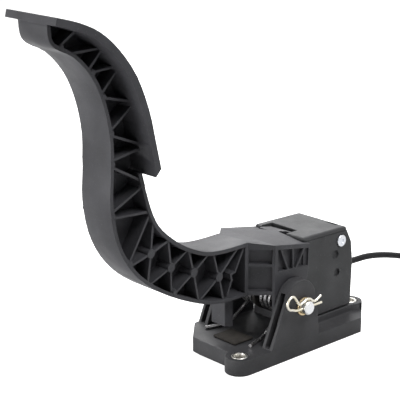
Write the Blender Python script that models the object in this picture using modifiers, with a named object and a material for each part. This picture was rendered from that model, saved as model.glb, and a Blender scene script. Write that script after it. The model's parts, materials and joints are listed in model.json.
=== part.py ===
"""Floor-mounted electronic foot pedal.

A tall S-shaped arm of ribbed plastic turns on a clevis pin between two ears of the base. Two torsion
springs lift it, and a finger behind the pin turns the forked rotor of a sensor in a closed housing.

Frame: -X is the front, where the foot plate stands, +X the rear, where the cable leaves, and -Y the side
with the pin's spring clip. The origin is on the base's underside, below the pin, in the middle plane.
Sizes are in millimetres here and become metres where a mesh is made.
"""

import math

import bmesh
import bpy
from mathutils import Matrix, Vector

MM = 0.001
GAP = 0.3  # between pieces that touch
ROUND_STEPS = 24

# Base
BASE_HALF_WIDTH = 39.0
FLANGE_TOP = 12.0
FLOOR_THICKNESS = 3.0
BASE_WALL = 3.0
BASE_RIB = 3.0
NOSE_X = -55.0
NOSE_FAR_Y = 11.0
NOSE_CHAMFER = 20.0
FRONT_BOSS_X = -53.2
FRONT_BOSS_RADIUS = 10.6
REAR_BOSS_X = 76.5
REAR_BOSS_Y = 17.0
REAR_BOSS_RADIUS = 10.0
REAR_X = 80.0
REAR_CORNER_ANGLE = 50.0  # of the boss's tangent point, where the flange turns to the side
DECK_TOP = 17.5
DECK_FRONT_X = 14.0
DECK_HALF_WIDTH = 25.0

# Mounting sleeves
SLEEVE_RADIUS = 6.0
SLEEVE_BORE_RADIUS = 4.2

# Ears
EAR_INNER_Y = 29.2
EAR_INNER_WALL = 2.6
EAR_OUTER_WALL = 2.8
EAR_TOP_X = -2.0
EAR_TOP_Z = 43.0
EAR_RADIUS = 15.5
EAR_RIM = 3.0
EAR_SETBACK = 0.1
EAR_FOOT_FRONT_X = -31.8
EAR_FOOT_REAR_X = 18.5
EAR_WAIST = (16.7, 28.6)

# Pivot
PIVOT_Z = 38.6
PIN_RADIUS = 5.0
PIN_END_Y = BASE_HALF_WIDTH + 7.2
PIN_HEAD_RADIUS = 7.5
PIN_HEAD = 2.6
RUNNING_GAP = 0.3
WASHER_RADIUS = 6.8
WASHER_THICKNESS = 1.0
PRESS_ANGLE = 15.0

# Spring clip
CLIP_WIRE_RADIUS = 1.0
CLIP_Y = 3.0 - PIN_END_Y
CLIP_LOOP_X = -15.8
CLIP_LOOP_Z = PIVOT_Z + 7.0
CLIP_LOOP_RADIUS = 4.9

# Arm
BODY_HALF_WIDTH = 14.85
TREADLE_HALF_WIDTH = 26.0
TREADLE_THICKNESS = 5.0
SKIN = 2.6
BACK_SKIN = 3.0
WEB = 2.6
ARM_RIB = 1.6
RIB_SETBACK = 1.0
RIB_BITE = 1.5
RIB_STAGGER = 0.1  # keeps the edges of ribs that meet out of one plane
MID_BOSS_RADIUS = 3.3
EDGE_BOSS_RADIUS = 2.4

# Fork at the foot of the arm
FORK_FRONT_X = -33.0
SHOULDER_X = -18.5
CHEEK_FOOT_Z = 34.0  # of the straight front edge of each cheek
COIL_WINDOW_Z = 47.2  # below it the cheeks are thin, to clear the springs
FORK_REAR_X = 18.0
FORK_HALF_WIDTH = 28.3
CHEEK = 2.7
FORK_FRONT_TOP = 88.3
SHOULDER_TOP = 86.0
FORK_REAR_TOP = 79.5
FORK_PLATE = 3.2
CREASE_REACH = 16.0  # how far back the top stays level at its middle, past the shoulder
FORK_SETBACK = 0.15  # of the fork's side from the skins' edges, where they join
FORK_EYE_RADIUS = 13.5
POCKET_DEPTH = 3.0
POCKET_WEB = 2.5
REAR_POCKET_DEPTH = 1.6  # where the cheek stands beside the housing
SHOULDER_POCKET_DEPTH = 4.3
STOP_BLOCK_X = (-47.6, -39.3)
STOP_BLOCK_HALF_WIDTH = 7.0

# Plain bearings in the fork
BUSH_WALL = 1.2
BUSH_FLANGE_RADIUS = 9.0
BUSH_FLANGE = 1.5

# Return springs
WIRE_RADIUS = 1.3
COIL_RADIUS = 9.7
COIL_TURNS = 3
COIL_INNER_Y = 2.9
COIL_OUTER_Y = 17.4
CURL_STEPS = 10
LEG_TIP = (-38.0, 23.6)
LEG_KNEE = (-20.0, 17.9)
UPPER_LEG_X = -38.5
SPOOL_COLLAR_RADIUS = 12.0
SPOOL_COLLAR = 2.6

# Floor pad
PAD_X = (-43.5, -25.0)
PAD_Y = (-14.0, 9.5)
PAD_THICKNESS = 1.5

# Sensor housing
HOUSING_FRONT_X = 13.5
HOUSING_HALF_WIDTH = 24.8
HOUSING_FRONT_TOP = 83.4
HOUSING_TOP_FALL = 0.018
HOUSING_TOP_REAR_X = 61.8
HOUSING_BACK = ((68.4, 70.0), (70.4, 53.6))
HOUSING_FOOT_X = 69.3
SHELF_THICKNESS = 3.2
HOUSING_WALL = 2.8
HOUSING_EDGE_RADIUS = 1.8
COVER_THICKNESS = 3.0
COVER_LIP_DEPTH = 3.0
COVER_LIP_WALL = 1.6
NOTCH_REAR_X = 25.6
NOTCH_Y = (-7.7, 18.4)
NOTCH_BOTTOM_Z = 55.0
LATCH_SLOT_X = 59.0
LATCH_SLOT_Y = (-17.3, -7.4)
LATCH_SLOT_WIDTH = 1.6
LATCH_SLOT_DEPTH = 1.8

# Screws
COVER_SCREW_X = 55.8
COVER_SCREW_Z = HOUSING_FRONT_TOP - 11.0
COVER_SCREW_HEAD_RADIUS = 4.6
COVER_SCREW_HEAD = 2.2
BLIND_HOLES = ((49.9, 62.5, 3.4), (52.0, 48.0, 3.2))
BLIND_HOLE_DEPTH = 1.6
SCREW_RADIUS = 1.9
SCREW_HEAD_RADIUS = 3.8
SCREW_HEAD = 2.2
SCREW_LENGTH = 12.0
HOUSING_SCREW_X = (30.0, 57.0)
HOUSING_SCREW_Y = 9.5
SCREW_POST_RADIUS = 4.4

# Tongue, finger and sensor
TONGUE_OUTLINE = (
    (10.0, -0.2),
    (14.4, -0.2),
    (18.0, -3.0),
    (18.4, -6.9),
    (20.2, -6.9),
    (18.4, 12.2),
    (12.8, 16.6),
    (10.0, 16.6),
)
FINGER_REAR_X = 18.8
TONGUE_TOP = HOUSING_FRONT_TOP - 0.4
TONGUE_THICKNESS = 3.4
BUMPER_THICKNESS = 2.6
BUMPER_X = (18.2, 21.8)
BUMPER_Y = (-5.9, 0.9)
DRIVE_RADIUS = 33.0
DRIVE_ANGLE = 37.0  # of the drive pin behind the pivot, above the horizontal
DRIVE_PIN_RADIUS = 2.0
FINGER_Y = (2.0, 6.0)
ROTOR_X = 34.0
ROTOR_Z = HOUSING_FRONT_TOP - 11.4
ROTOR_Y = (7.0, 11.0)
ROTOR_HUB_RADIUS = 5.5
ROTOR_REACH = 20.0
ROTOR_SLOT_START = 12.0
ROTOR_SLOT_HALF = 2.5
SHAFT_RADIUS = 2.0
MAGNET_RADIUS = 4.0
MAGNET_THICKNESS = 2.6
BOARD_Y = 0.0
BOARD_THICKNESS = 1.6
BOARD_X = (29.0, 61.0)
BOARD_Z = (24.0, ROTOR_Z + 1.0)
CHIP_SIZE = 6.0
CHIP_THICKNESS = 1.4

# Cable
CABLE_RADIUS = 2.5
CABLE_Z = 41.0
GLAND_RADIUS = 5.5
GLAND_FLANGE_RADIUS = 7.0
CABLE_ROUTE = (
    (61.5, 0.0, 41.0),
    (66.0, 0.0, 41.0),
    (76.0, 0.0, 41.0),
    (88.0, 0.0, 40.7),
    (99.6, 0.0, 40.2),
    (114.2, 0.0, 39.8),
    (126.6, 0.0, 38.2),
    (139.3, 0.0, 35.6),
    (150.0, 0.0, 32.8),
    (158.9, 0.0, 30.2),
    (170.0, 0.0, 26.0),
    (182.0, 0.0, 20.4),
    (194.0, 0.0, 14.0),
    (206.0, 0.0, 8.2),
    (217.0, 0.0, 4.4),
    (227.0, 0.0, 2.9),
    (236.0, 0.0, 2.6),
)
ROUTE_STEPS = 3
COIL_PITCH = 5.6
COIL_MEAN_RADIUS = 27.5
COIL_TURNS_A_LAYER = 3.5
LOOP_STEPS = 24
COIL_RUN_OUT = 24.0
PLUG_LENGTH = 31.0
PLUG_WIDTH = 17.0
PLUG_COLLAR_RADIUS = 5.0

COLOURS = {
    "arm_plastic": ((0.045, 0.046, 0.050), 0.55, 0.0),
    "base_plastic": ((0.050, 0.051, 0.054), 0.6, 0.0),
    "housing_plastic": ((0.055, 0.056, 0.058), 0.6, 0.0),
    "sleeve_steel": ((0.45, 0.44, 0.41), 0.4, 1.0),
    "pin_steel": ((0.78, 0.78, 0.76), 0.3, 1.0),
    "yellow_zinc": ((0.62, 0.50, 0.30), 0.38, 1.0),
    "clip_wire": ((0.80, 0.78, 0.70), 0.3, 1.0),
    "spring_steel": ((0.32, 0.32, 0.33), 0.42, 1.0),
    "bearing_plastic": ((0.30, 0.27, 0.20), 0.5, 0.0),
    "rubber": ((0.09, 0.09, 0.09), 0.85, 0.0),
    "screw_steel": ((0.72, 0.73, 0.74), 0.3, 1.0),
    "circuit_board": ((0.02, 0.14, 0.06), 0.5, 0.0),
    "magnet": ((0.50, 0.50, 0.52), 0.35, 1.0),
    "chip": ((0.02, 0.02, 0.02), 0.5, 0.0),
    "cable_jacket": ((0.030, 0.030, 0.032), 0.55, 0.0),
}

PIVOT = (0.0, PIVOT_Z)


def clear_scene():
    for old in list(bpy.data.objects):
        bpy.data.objects.remove(old, do_unlink=True)


def new_collection(name, hidden=False):
    collection = bpy.data.collections.new(name)
    bpy.context.scene.collection.children.link(collection)
    collection.hide_render = hidden
    return collection


def new_material(name):
    colour, roughness, metallic = COLOURS[name]
    material = bpy.data.materials.new(name)
    material.use_nodes = True
    shader = material.node_tree.nodes["Principled BSDF"]
    shader.inputs["Base Color"].default_value = (*colour, 1.0)
    shader.inputs["Roughness"].default_value = roughness
    shader.inputs["Metallic"].default_value = metallic
    return material


clear_scene()
PARTS = new_collection("foot_pedal")
CUTTERS = new_collection("cutters", hidden=True)
MATERIALS = {name: new_material(name) for name in COLOURS}


# Plane geometry


def on_circle(centre, radius, degrees):
    angle = math.radians(degrees)
    return (centre[0] + radius * math.cos(angle), centre[1] + radius * math.sin(angle))


def arc(centre, radius, start, end, steps):
    return [on_circle(centre, radius, start + (end - start) * i / steps) for i in range(steps + 1)]


def smooth(points, steps):
    """A smooth curve through the points, with the same number of steps between each two."""
    ends = [points[0], *points, points[-1]]
    curve = []
    for a, b, c, d in zip(ends, ends[1:], ends[2:], ends[3:]):
        for i in range(steps):
            t = i / steps
            weights = (
                -0.5 * t + t**2 - 0.5 * t**3,
                1 - 2.5 * t**2 + 1.5 * t**3,
                0.5 * t + 2 * t**2 - 1.5 * t**3,
                -0.5 * t**2 + 0.5 * t**3,
            )
            curve.append(tuple(sum(w * p[k] for w, p in zip(weights, (a, b, c, d))) for k in range(len(b))))
    return curve + [points[-1]]


def beside(points, distance):
    """The curve that runs beside an open curve, to its left for a positive distance."""
    moved = []
    for i, point in enumerate(points):
        before = Vector(points[max(i - 1, 0)])
        after = Vector(points[min(i + 1, len(points) - 1)])
        along = (after - before).normalized()
        moved.append((point[0] - along.y * distance, point[1] + along.x * distance))
    return moved


def turned_about_pivot(point, degrees):
    angle = math.radians(degrees)
    x, z = point[0] - PIVOT[0], point[1] - PIVOT[1]
    return (
        PIVOT[0] + x * math.cos(angle) - z * math.sin(angle),
        PIVOT[1] + x * math.sin(angle) + z * math.cos(angle),
    )


def mirrored(points):
    return [(x, -y) for x, y in reversed(points)]


# Solids


def new_object(name, mesh):
    obj = bpy.data.objects.new(name, mesh)
    CUTTERS.objects.link(obj)
    obj.hide_render = True
    obj.display_type = "WIRE"
    return obj


def evaluated_mesh(obj):
    graph = bpy.context.evaluated_depsgraph_get()
    return bpy.data.meshes.new_from_object(obj.evaluated_get(graph))


def baked(obj):
    """The object as a mesh in world space, with its curve or its modifiers worked in and its caps welded."""
    bpy.context.view_layer.update()
    mesh = evaluated_mesh(obj)
    mesh.transform(obj.matrix_world)
    form = bmesh.new()
    form.from_mesh(mesh)
    bmesh.ops.remove_doubles(form, verts=form.verts, dist=1e-6)
    bmesh.ops.recalc_face_normals(form, faces=form.faces)
    form.to_mesh(mesh)
    form.free()
    bpy.data.objects.remove(obj, do_unlink=True)
    return new_object("solid", mesh)


def prism(outline, low, high, along="Y", holes=()):
    """A flat outline with thickness: (x, z) points along Y, (x, y) along Z and (y, z) along X."""
    curve = bpy.data.curves.new("outline", "CURVE")
    curve.dimensions = "2D"
    curve.fill_mode = "BOTH"
    curve.extrude = (high - low) / 2 * MM
    for loop in (outline, *holes):
        spline = curve.splines.new("POLY")
        spline.points.add(len(loop) - 1)
        spline.use_cyclic_u = True
        for target, (u, v) in zip(spline.points, loop):
            target.co = (u * MM, v * MM, 0.0, 1.0)
    obj = new_object("outline", curve)
    middle = (low + high) / 2 * MM
    if along == "Y":
        obj.rotation_euler = (math.pi / 2, 0.0, 0.0)
        obj.location = (0.0, middle, 0.0)
    elif along == "X":
        obj.rotation_euler = (math.pi / 2, 0.0, math.pi / 2)
        obj.location = (middle, 0.0, 0.0)
    else:
        obj.location = (0.0, 0.0, middle)
    return baked(obj)


def box(x, y, z):
    """A box from three (low, high) pairs."""
    form = bmesh.new()
    bmesh.ops.create_cube(form, size=1.0)
    sizes = [(high - low) * MM for low, high in (x, y, z)]
    centre = [(high + low) / 2 * MM for low, high in (x, y, z)]
    bmesh.ops.scale(form, vec=sizes, verts=form.verts)
    bmesh.ops.translate(form, vec=centre, verts=form.verts)
    mesh = bpy.data.meshes.new("box")
    form.to_mesh(mesh)
    form.free()
    return new_object("box", mesh)


def rod(centre, radius, low, high, along="Y", steps=ROUND_STEPS, end_radius=None):
    """A cylinder or cone. Its centre is (x, z) along Y, (x, y) along Z and (y, z) along X."""
    form = bmesh.new()
    bmesh.ops.create_cone(
        form,
        cap_ends=True,
        segments=steps,
        radius1=radius * MM,
        radius2=(radius if end_radius is None else end_radius) * MM,
        depth=(high - low) * MM,
    )
    middle = (low + high) / 2
    if along == "Y":
        bmesh.ops.rotate(form, cent=(0, 0, 0), matrix=Matrix.Rotation(-math.pi / 2, 3, "X"), verts=form.verts)
        place = (centre[0], middle, centre[1])
    elif along == "X":
        bmesh.ops.rotate(form, cent=(0, 0, 0), matrix=Matrix.Rotation(math.pi / 2, 3, "Y"), verts=form.verts)
        place = (middle, centre[0], centre[1])
    else:
        place = (centre[0], centre[1], middle)
    bmesh.ops.translate(form, vec=[c * MM for c in place], verts=form.verts)
    mesh = bpy.data.meshes.new("rod")
    form.to_mesh(mesh)
    form.free()
    return new_object("rod", mesh)


def turned(profile, centre, along="Y", steps=ROUND_STEPS, closed=True):
    """A turned piece from (radius, height) points, its height along the axis."""
    form = bmesh.new()
    verts = [form.verts.new((r * MM, 0.0, h * MM)) for r, h in profile]
    for a, b in zip(verts, verts[1:]):
        form.edges.new((a, b))
    if closed:
        form.edges.new((verts[-1], verts[0]))
    mesh = bpy.data.meshes.new("profile")
    form.to_mesh(mesh)
    form.free()
    obj = new_object("turned", mesh)
    screw = obj.modifiers.new("Screw", "SCREW")
    screw.steps = steps
    screw.render_steps = steps
    screw.use_merge_vertices = True
    screw.merge_threshold = 1e-6
    if along == "Y":
        obj.rotation_euler = (-math.pi / 2, 0.0, 0.0)
        obj.location = (centre[0] * MM, 0.0, centre[1] * MM)
    elif along == "X":
        obj.rotation_euler = (0.0, math.pi / 2, 0.0)
        obj.location = (0.0, centre[0] * MM, centre[1] * MM)
    else:
        obj.location = (centre[0] * MM, centre[1] * MM, 0.0)
    return baked(obj)


def tube(points, radius, resolution):
    """A wire or cord along a polyline, with closed ends."""
    curve = bpy.data.curves.new("wire", "CURVE")
    curve.dimensions = "3D"
    curve.bevel_depth = radius * MM
    curve.bevel_resolution = resolution
    curve.use_fill_caps = True
    spline = curve.splines.new("POLY")
    spline.points.add(len(points) - 1)
    for target, point in zip(spline.points, points):
        target.co = (*[c * MM for c in point], 1.0)
    return new_object("wire", curve)


def boolean(body, tool, operation):
    modifier = body.modifiers.new("Boolean", "BOOLEAN")
    modifier.operation = operation
    modifier.object = tool
    old = body.data
    body.data = evaluated_mesh(body)
    body.modifiers.clear()
    bpy.data.meshes.remove(old)
    bpy.data.objects.remove(tool, do_unlink=True)
    return body


def fuse(body, *others):
    """Joins pieces in one step, which keeps faces that lie in one plane clean."""
    group = bpy.data.collections.new("group")
    for other in others:
        group.objects.link(other)
    modifier = body.modifiers.new("Boolean", "BOOLEAN")
    modifier.operation = "UNION"
    modifier.operand_type = "COLLECTION"
    modifier.collection = group
    old = body.data
    body.data = evaluated_mesh(body)
    body.modifiers.clear()
    bpy.data.meshes.remove(old)
    bpy.data.collections.remove(group)
    for other in others:
        bpy.data.objects.remove(other, do_unlink=True)
    return body


def cut(body, *tools):
    for tool in tools:
        boolean(body, tool, "DIFFERENCE")
    return body


def common(body, other):
    return boolean(body, other, "INTERSECT")


def bevelled(obj, width, segments=2, angle=40.0):
    modifier = obj.modifiers.new("Bevel", "BEVEL")
    modifier.width = width * MM
    modifier.segments = segments
    modifier.limit_method = "ANGLE"
    modifier.angle_limit = math.radians(angle)
    modifier.use_clamp_overlap = True
    return baked(obj)


def finished(obj, name, material, parent=None):
    """Names a piece, gives it its material and moves it from the cutters to the parts."""
    CUTTERS.objects.unlink(obj)
    PARTS.objects.link(obj)
    obj.name = name
    obj.data.name = name
    obj.hide_render = False
    obj.display_type = "TEXTURED"
    obj.data.materials.clear()
    obj.data.materials.append(MATERIALS[material])
    if obj.type == "MESH":
        obj.data.shade_smooth()
        obj.data.set_sharp_from_angle(angle=math.radians(35))
    if parent:
        obj.parent = parent
        obj.matrix_parent_inverse = Matrix.Translation(-parent.location)
    return obj


def axis_empty(name, x, z):
    empty = bpy.data.objects.new(name, None)
    empty.location = (x * MM, 0.0, z * MM)
    PARTS.objects.link(empty)
    return empty


# Base


def base_outline():
    """The flange from above: a boss at the near front corner and one at each rear corner."""
    front_boss = (FRONT_BOSS_X, FRONT_BOSS_RADIUS - BASE_HALF_WIDTH)
    nose_angle = math.degrees(math.acos((NOSE_X - FRONT_BOSS_X) / FRONT_BOSS_RADIUS))
    rear_angle = math.degrees(math.acos((REAR_X - REAR_BOSS_X) / REAR_BOSS_RADIUS))
    rear_boss = (REAR_BOSS_X, REAR_BOSS_Y)
    tangent = on_circle(rear_boss, REAR_BOSS_RADIUS, REAR_CORNER_ANGLE)
    corner_x = tangent[0] - (BASE_HALF_WIDTH - tangent[1]) * math.tan(math.radians(REAR_CORNER_ANGLE))
    rear = [(corner_x, BASE_HALF_WIDTH), *arc(rear_boss, REAR_BOSS_RADIUS, REAR_CORNER_ANGLE, -rear_angle, 8)]
    far = [
        (NOSE_X, NOSE_FAR_Y),
        (NOSE_X + 1.0, BASE_HALF_WIDTH - NOSE_CHAMFER + 1.0),
        (NOSE_X + NOSE_CHAMFER, BASE_HALF_WIDTH),
        *rear,
    ]
    return far + mirrored(rear) + arc(front_boss, FRONT_BOSS_RADIUS, 270, nose_angle, 12)


def deck_step_outline():
    """The raised deck from above. Past the bosses its edge runs clear of the flange."""
    corner = math.degrees(math.pi - math.asin((DECK_HALF_WIDTH - REAR_BOSS_Y) / REAR_BOSS_RADIUS))
    boss = (REAR_BOSS_X, REAR_BOSS_Y)
    half = [
        (DECK_FRONT_X, DECK_HALF_WIDTH),
        *arc(boss, REAR_BOSS_RADIUS, corner, 80.0, 3),
        on_circle(boss, 4 * REAR_BOSS_RADIUS, 80.0),
        (REAR_X + 4 * REAR_BOSS_RADIUS, REAR_BOSS_Y),
    ]
    return half + mirrored(half)


def ear_outline():
    centre = (EAR_TOP_X, EAR_TOP_Z)
    below = FLANGE_TOP - 4.0
    return [
        (EAR_FOOT_FRONT_X - 1.2, below),
        *arc(centre, EAR_RADIUS, 156.0, 0.0, 14),
        EAR_WAIST,
        (EAR_FOOT_REAR_X, FLANGE_TOP),
        (EAR_FOOT_REAR_X, below),
    ]


def ear_slot_outline():
    """The slot between an ear's two walls is closed at the top and rear, and open to the front."""
    centre = (EAR_TOP_X, EAR_TOP_Z)
    return [
        (NOSE_X - 5.0, FLANGE_TOP + 0.5),
        on_circle(centre, 2 * EAR_RADIUS, 150.0),
        *arc(centre, EAR_RADIUS - EAR_RIM, 150.0, 0.0, 10),
        (EAR_WAIST[0] - EAR_RIM, EAR_WAIST[1]),
        (EAR_FOOT_REAR_X - EAR_RIM, FLANGE_TOP + 0.5),
    ]


def sleeve_places():
    front_y = FRONT_BOSS_RADIUS - BASE_HALF_WIDTH
    return {
        "sleeve_bush_front": (FRONT_BOSS_X, front_y, FLANGE_TOP),
        "sleeve_bush_rear_near": (REAR_BOSS_X, -REAR_BOSS_Y, DECK_TOP),
        "sleeve_bush_rear_far": (REAR_BOSS_X, REAR_BOSS_Y, DECK_TOP),
    }


def housing_screw_places():
    return [(x, y) for x in HOUSING_SCREW_X for y in (-HOUSING_SCREW_Y, HOUSING_SCREW_Y)]


def underside_core():
    """The hollow below the base, less its ribs and the posts round its holes."""
    edge = BASE_HALF_WIDTH - BASE_WALL
    front = NOSE_X + BASE_WALL
    flange_core = [
        (front, NOSE_FAR_Y),
        (NOSE_X + NOSE_CHAMFER + 1.2, edge),
        (REAR_BOSS_X - 11.0, edge),
        (REAR_BOSS_X - 1.0, REAR_BOSS_Y + 10.5),
        (REAR_X - BASE_WALL, 0.0),
        (REAR_BOSS_X - 1.0, -REAR_BOSS_Y - 10.5),
        (REAR_BOSS_X - 11.0, -edge),
        (FRONT_BOSS_X + SLEEVE_RADIUS, -edge),
        (front, -BASE_HALF_WIDTH + 2 * FRONT_BOSS_RADIUS + 4.0),
    ]
    deck_edge = DECK_HALF_WIDTH - BASE_WALL
    deck_x = (DECK_FRONT_X + BASE_WALL, REAR_BOSS_X - 6.0)
    core = prism(flange_core, -1.0, FLANGE_TOP - FLOOR_THICKNESS, "Z")
    fuse(core, box(deck_x, (-deck_edge, deck_edge), (2.0, DECK_TOP - FLOOR_THICKNESS)))
    half = BASE_RIB / 2
    for x in (-26.5, 0.0, 24.0, 46.0, 68.0):
        cut(core, box((x - half, x + half), (-60.0, 60.0), (-3.0, 30.0)))
    for y in (-19.0, 0.0, 19.0):
        cut(core, box((-90.0, 90.0), (y - half, y + half), (-3.0, 30.0)))
    for x, y, _ in sleeve_places().values():
        cut(core, rod((x, y), SLEEVE_RADIUS + BASE_WALL, -3.0, 30.0, "Z", 30))
    return cut(core, rod((0.0, 0.0), 7.0, -3.0, 30.0, "Z"))


def make_base():
    body = prism(base_outline(), 0.0, DECK_TOP, "Z")
    around = [(-150.0, -100.0), (150.0, -100.0), (150.0, 100.0), (-150.0, 100.0)]
    cut(body, prism(around, FLANGE_TOP, 2 * DECK_TOP, "Z", [deck_step_outline()]))
    slot_low = EAR_INNER_Y + EAR_INNER_WALL
    slot_high = BASE_HALF_WIDTH - EAR_OUTER_WALL
    for side in (-1, 1):
        ear = prism(ear_outline(), *sorted((side * EAR_INNER_Y, side * (BASE_HALF_WIDTH - EAR_SETBACK))))
        cut(ear, prism(ear_slot_outline(), *sorted((side * slot_low, side * slot_high))))
        fuse(body, ear)
    cut(body, underside_core())
    for x, y, _ in sleeve_places().values():
        cut(body, rod((x, y), SLEEVE_RADIUS + GAP, -5.0, 40.0, "Z"))
    for x, y in housing_screw_places():
        cut(body, rod((x, y), SCREW_RADIUS + GAP, -5.0, 40.0, "Z", 16))
    cut(body, rod(PIVOT, PIN_RADIUS + RUNNING_GAP, -60.0, 60.0))
    finished(body, "base", "base_plastic")


def make_sleeves():
    for name, (x, y, top) in sleeve_places().items():
        edge = 0.4
        profile = [
            (SLEEVE_BORE_RADIUS, top),
            (SLEEVE_RADIUS - edge, top),
            (SLEEVE_RADIUS, top - edge),
            (SLEEVE_RADIUS, edge),
            (SLEEVE_RADIUS - edge, 0.0),
            (SLEEVE_BORE_RADIUS, 0.0),
        ]
        finished(turned(profile, (x, y), "Z"), name, "sleeve_steel")


def make_floor_pad():
    pad = box(PAD_X, PAD_Y, (FLANGE_TOP + GAP, FLANGE_TOP + GAP + PAD_THICKNESS))
    finished(bevelled(pad, 0.5, 1), "floor_pad", "rubber")


# Pivot


def make_pin():
    washer_face = BASE_HALF_WIDTH + GAP
    edge = 0.8
    profile = [
        (0.0, -PIN_END_Y),
        (PIN_RADIUS - edge, -PIN_END_Y),
        (PIN_RADIUS, -PIN_END_Y + edge),
        (PIN_RADIUS, washer_face),
        (PIN_HEAD_RADIUS, washer_face),
        (PIN_HEAD_RADIUS, washer_face + PIN_HEAD - edge),
        (PIN_HEAD_RADIUS - edge, washer_face + PIN_HEAD),
        (0.0, washer_face + PIN_HEAD),
    ]
    pin = turned(profile, PIVOT, closed=False)
    hole = rod((CLIP_Y, PIVOT_Z + 0.3), CLIP_WIRE_RADIUS + GAP, -9.0, 9.0, "X", 12)
    finished(cut(pin, hole), "pivot_pin", "pin_steel")


def make_washer():
    face = -BASE_HALF_WIDTH - GAP
    bore = PIN_RADIUS + RUNNING_GAP
    profile = [
        (bore, face),
        (WASHER_RADIUS, face),
        (WASHER_RADIUS, face - WASHER_THICKNESS),
        (bore, face - WASHER_THICKNESS),
    ]
    finished(turned(profile, PIVOT), "pin_washer", "yellow_zinc")


def make_clip():
    """One leg passes through the pin, the other springs over it, and both join in a loop in front."""
    leg_z = PIVOT_Z + 0.3
    loop = (CLIP_LOOP_X, CLIP_LOOP_Z)
    over_pin = PIN_RADIUS + CLIP_WIRE_RADIUS + 0.5
    bend = [
        (15.0, leg_z),
        (-9.0, leg_z),
        (CLIP_LOOP_X + 3.5, leg_z + 0.3),
        *arc(loop, CLIP_LOOP_RADIUS, 270, 70, 10),
        (CLIP_LOOP_X + 4.4, CLIP_LOOP_Z + 1.2),
        (-8.2, leg_z + 3.3),
        *arc(PIVOT, over_pin, 125, 40, 5),
        (7.2, leg_z + 2.7),
        (9.6, leg_z + 3.2),
        (14.0, leg_z + 5.6),
    ]
    wire = tube([(x, CLIP_Y, z) for x, z in bend], CLIP_WIRE_RADIUS, 2)
    finished(baked(wire), "retaining_clip", "clip_wire")


# Arm


def front_edge():
    """The outer curve of the front skin, from the foot plate's tip down to the fork."""
    return smooth(
        [
            (-200.2, 261.5),
            (-199.3, 251.0),
            (-194.6, 244.8),
            (-181.2, 237.9),
            (-168.1, 224.0),
            (-159.3, 205.1),
            (-154.6, 182.0),
            (-154.9, 158.0),
            (-155.7, 138.0),
            (-151.5, 115.0),
            (-142.0, 96.0),
            (-127.4, 80.3),
            (-105.7, 66.0),
            (-78.0, 53.5),
            (-58.0, 48.8),
            (FORK_FRONT_X, 48.0),
        ],
        3,
    )


def back_edge():
    """The outer curve of the back skin, from the lower end of the foot plate down to the fork."""
    return smooth(
        [
            (-129.0, 157.5),
            (-127.2, 149.5),
            (-121.6, 130.9),
            (-115.0, 118.0),
            (-104.0, 107.3),
            (-89.7, 97.6),
            (-72.5, 90.3),
            (-55.0, FORK_FRONT_TOP - 0.2),
            (FORK_FRONT_X, FORK_FRONT_TOP),
        ],
        3,
    )


def foot_edge():
    """The curve under the foot, from the tip down."""
    return smooth(
        [
            (-200.7, 265.1),
            (-184.3, 260.4),
            (-169.0, 253.3),
            (-154.6, 241.1),
            (-141.0, 223.0),
            (-131.4, 199.9),
            (-126.3, 179.0),
            (-122.0, 160.5),
        ],
        3,
    )


def strip(edge, thickness, side):
    return edge + list(reversed(beside(edge, side * thickness)))


def foot_plate_outline():
    edge = foot_edge()
    inner = beside(edge, -TREADLE_THICKNESS)
    chamfer = (edge[-1][0] - 4.7, edge[-1][1] - 5.1)
    return edge + [chamfer] + list(reversed(inner[:-1]))


def web_outline():
    front = beside(front_edge(), SKIN / 2)
    back = beside(back_edge(), -BACK_SKIN / 2)
    foot = beside(foot_edge(), -TREADLE_THICKNESS / 2)
    return front[1:] + [(FORK_FRONT_X - 1.0, 60.0), *reversed(back), *reversed(foot[1:])]


# Ends of the ribs, in pairs, at the inner faces of the skins
ARM_RIBS = (
    ((-187.9, 247.5), (-179.1, 253.5)),
    ((-180.2, 240.4), (-161.9, 241.3)),
    ((-168.3, 230.0), (-159.8, 239.5)),
    ((-164.4, 227.3), (-149.8, 228.5)),
    ((-158.6, 214.1), (-147.7, 225.8)),
    ((-156.3, 209.6), (-138.0, 205.1)),
    ((-151.2, 190.0), (-136.5, 201.3)),
    ((-151.0, 184.4), (-132.3, 177.0)),
    ((-151.0, 169.1), (-131.5, 172.6)),
    ((-151.5, 163.9), (-130.7, 152.5)),
    ((-152.2, 135.3), (-128.9, 147.0)),
    ((-152.0, 130.5), (-124.0, 129.5)),
    ((-140.0, 97.9), (-123.0, 126.0)),
)
# Bosses of the lower truss, each with its struts: from the back skin, through the boss, to the front skin
ARM_TRUSS = (
    ((-121.6, 100.0), ((-119.5, 121.1), (-124.5, 80.8)), ((-106.2, 105.6), (-138.0, 95.5))),
    ((-104.0, 86.0), ((-106.2, 105.6), (-103.7, 69.1)), ((-89.7, 94.5), (-121.2, 78.9))),
    ((-83.3, 77.5), ((-87.6, 93.6), (-79.2, 57.2)), ((-70.7, 86.5), (-99.6, 67.0))),
    ((-59.5, 68.4), ((-64.2, 85.5), (-55.4, 52.4)), ((-41.5, 85.4), (-76.7, 56.2))),
)
# A bent rib beside the last boss
BENT_RIB = ((-35.3, 84.4), (-43.6, 68.5), (-47.6, 67.3), (-46.5, 62.8), (-50.8, 52.6))
EDGE_BOSSES = (
    (-190.0, 244.8),
    (-166.8, 226.9),
    (-158.8, 210.7),
    (-153.3, 186.5),
    (-152.9, 166.5),
    (-128.6, 148.3),
    (-153.5, 132.5),
    (-140.0, 97.6),
    (-101.7, 67.8),
)


def plank(start, end, half_width, thickness=ARM_RIB, bite=RIB_BITE):
    """A rib between two points of the arm's side view, across the arm's width."""
    start, end = Vector(start), Vector(end)
    along = (end - start).normalized()
    side = Vector((-along.y, along.x)) * thickness / 2
    start, end = start - along * bite, end + along * bite
    corners = (start - side, end - side, end + side, start + side)
    return prism([tuple(c) for c in corners], -half_width, half_width)


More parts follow.
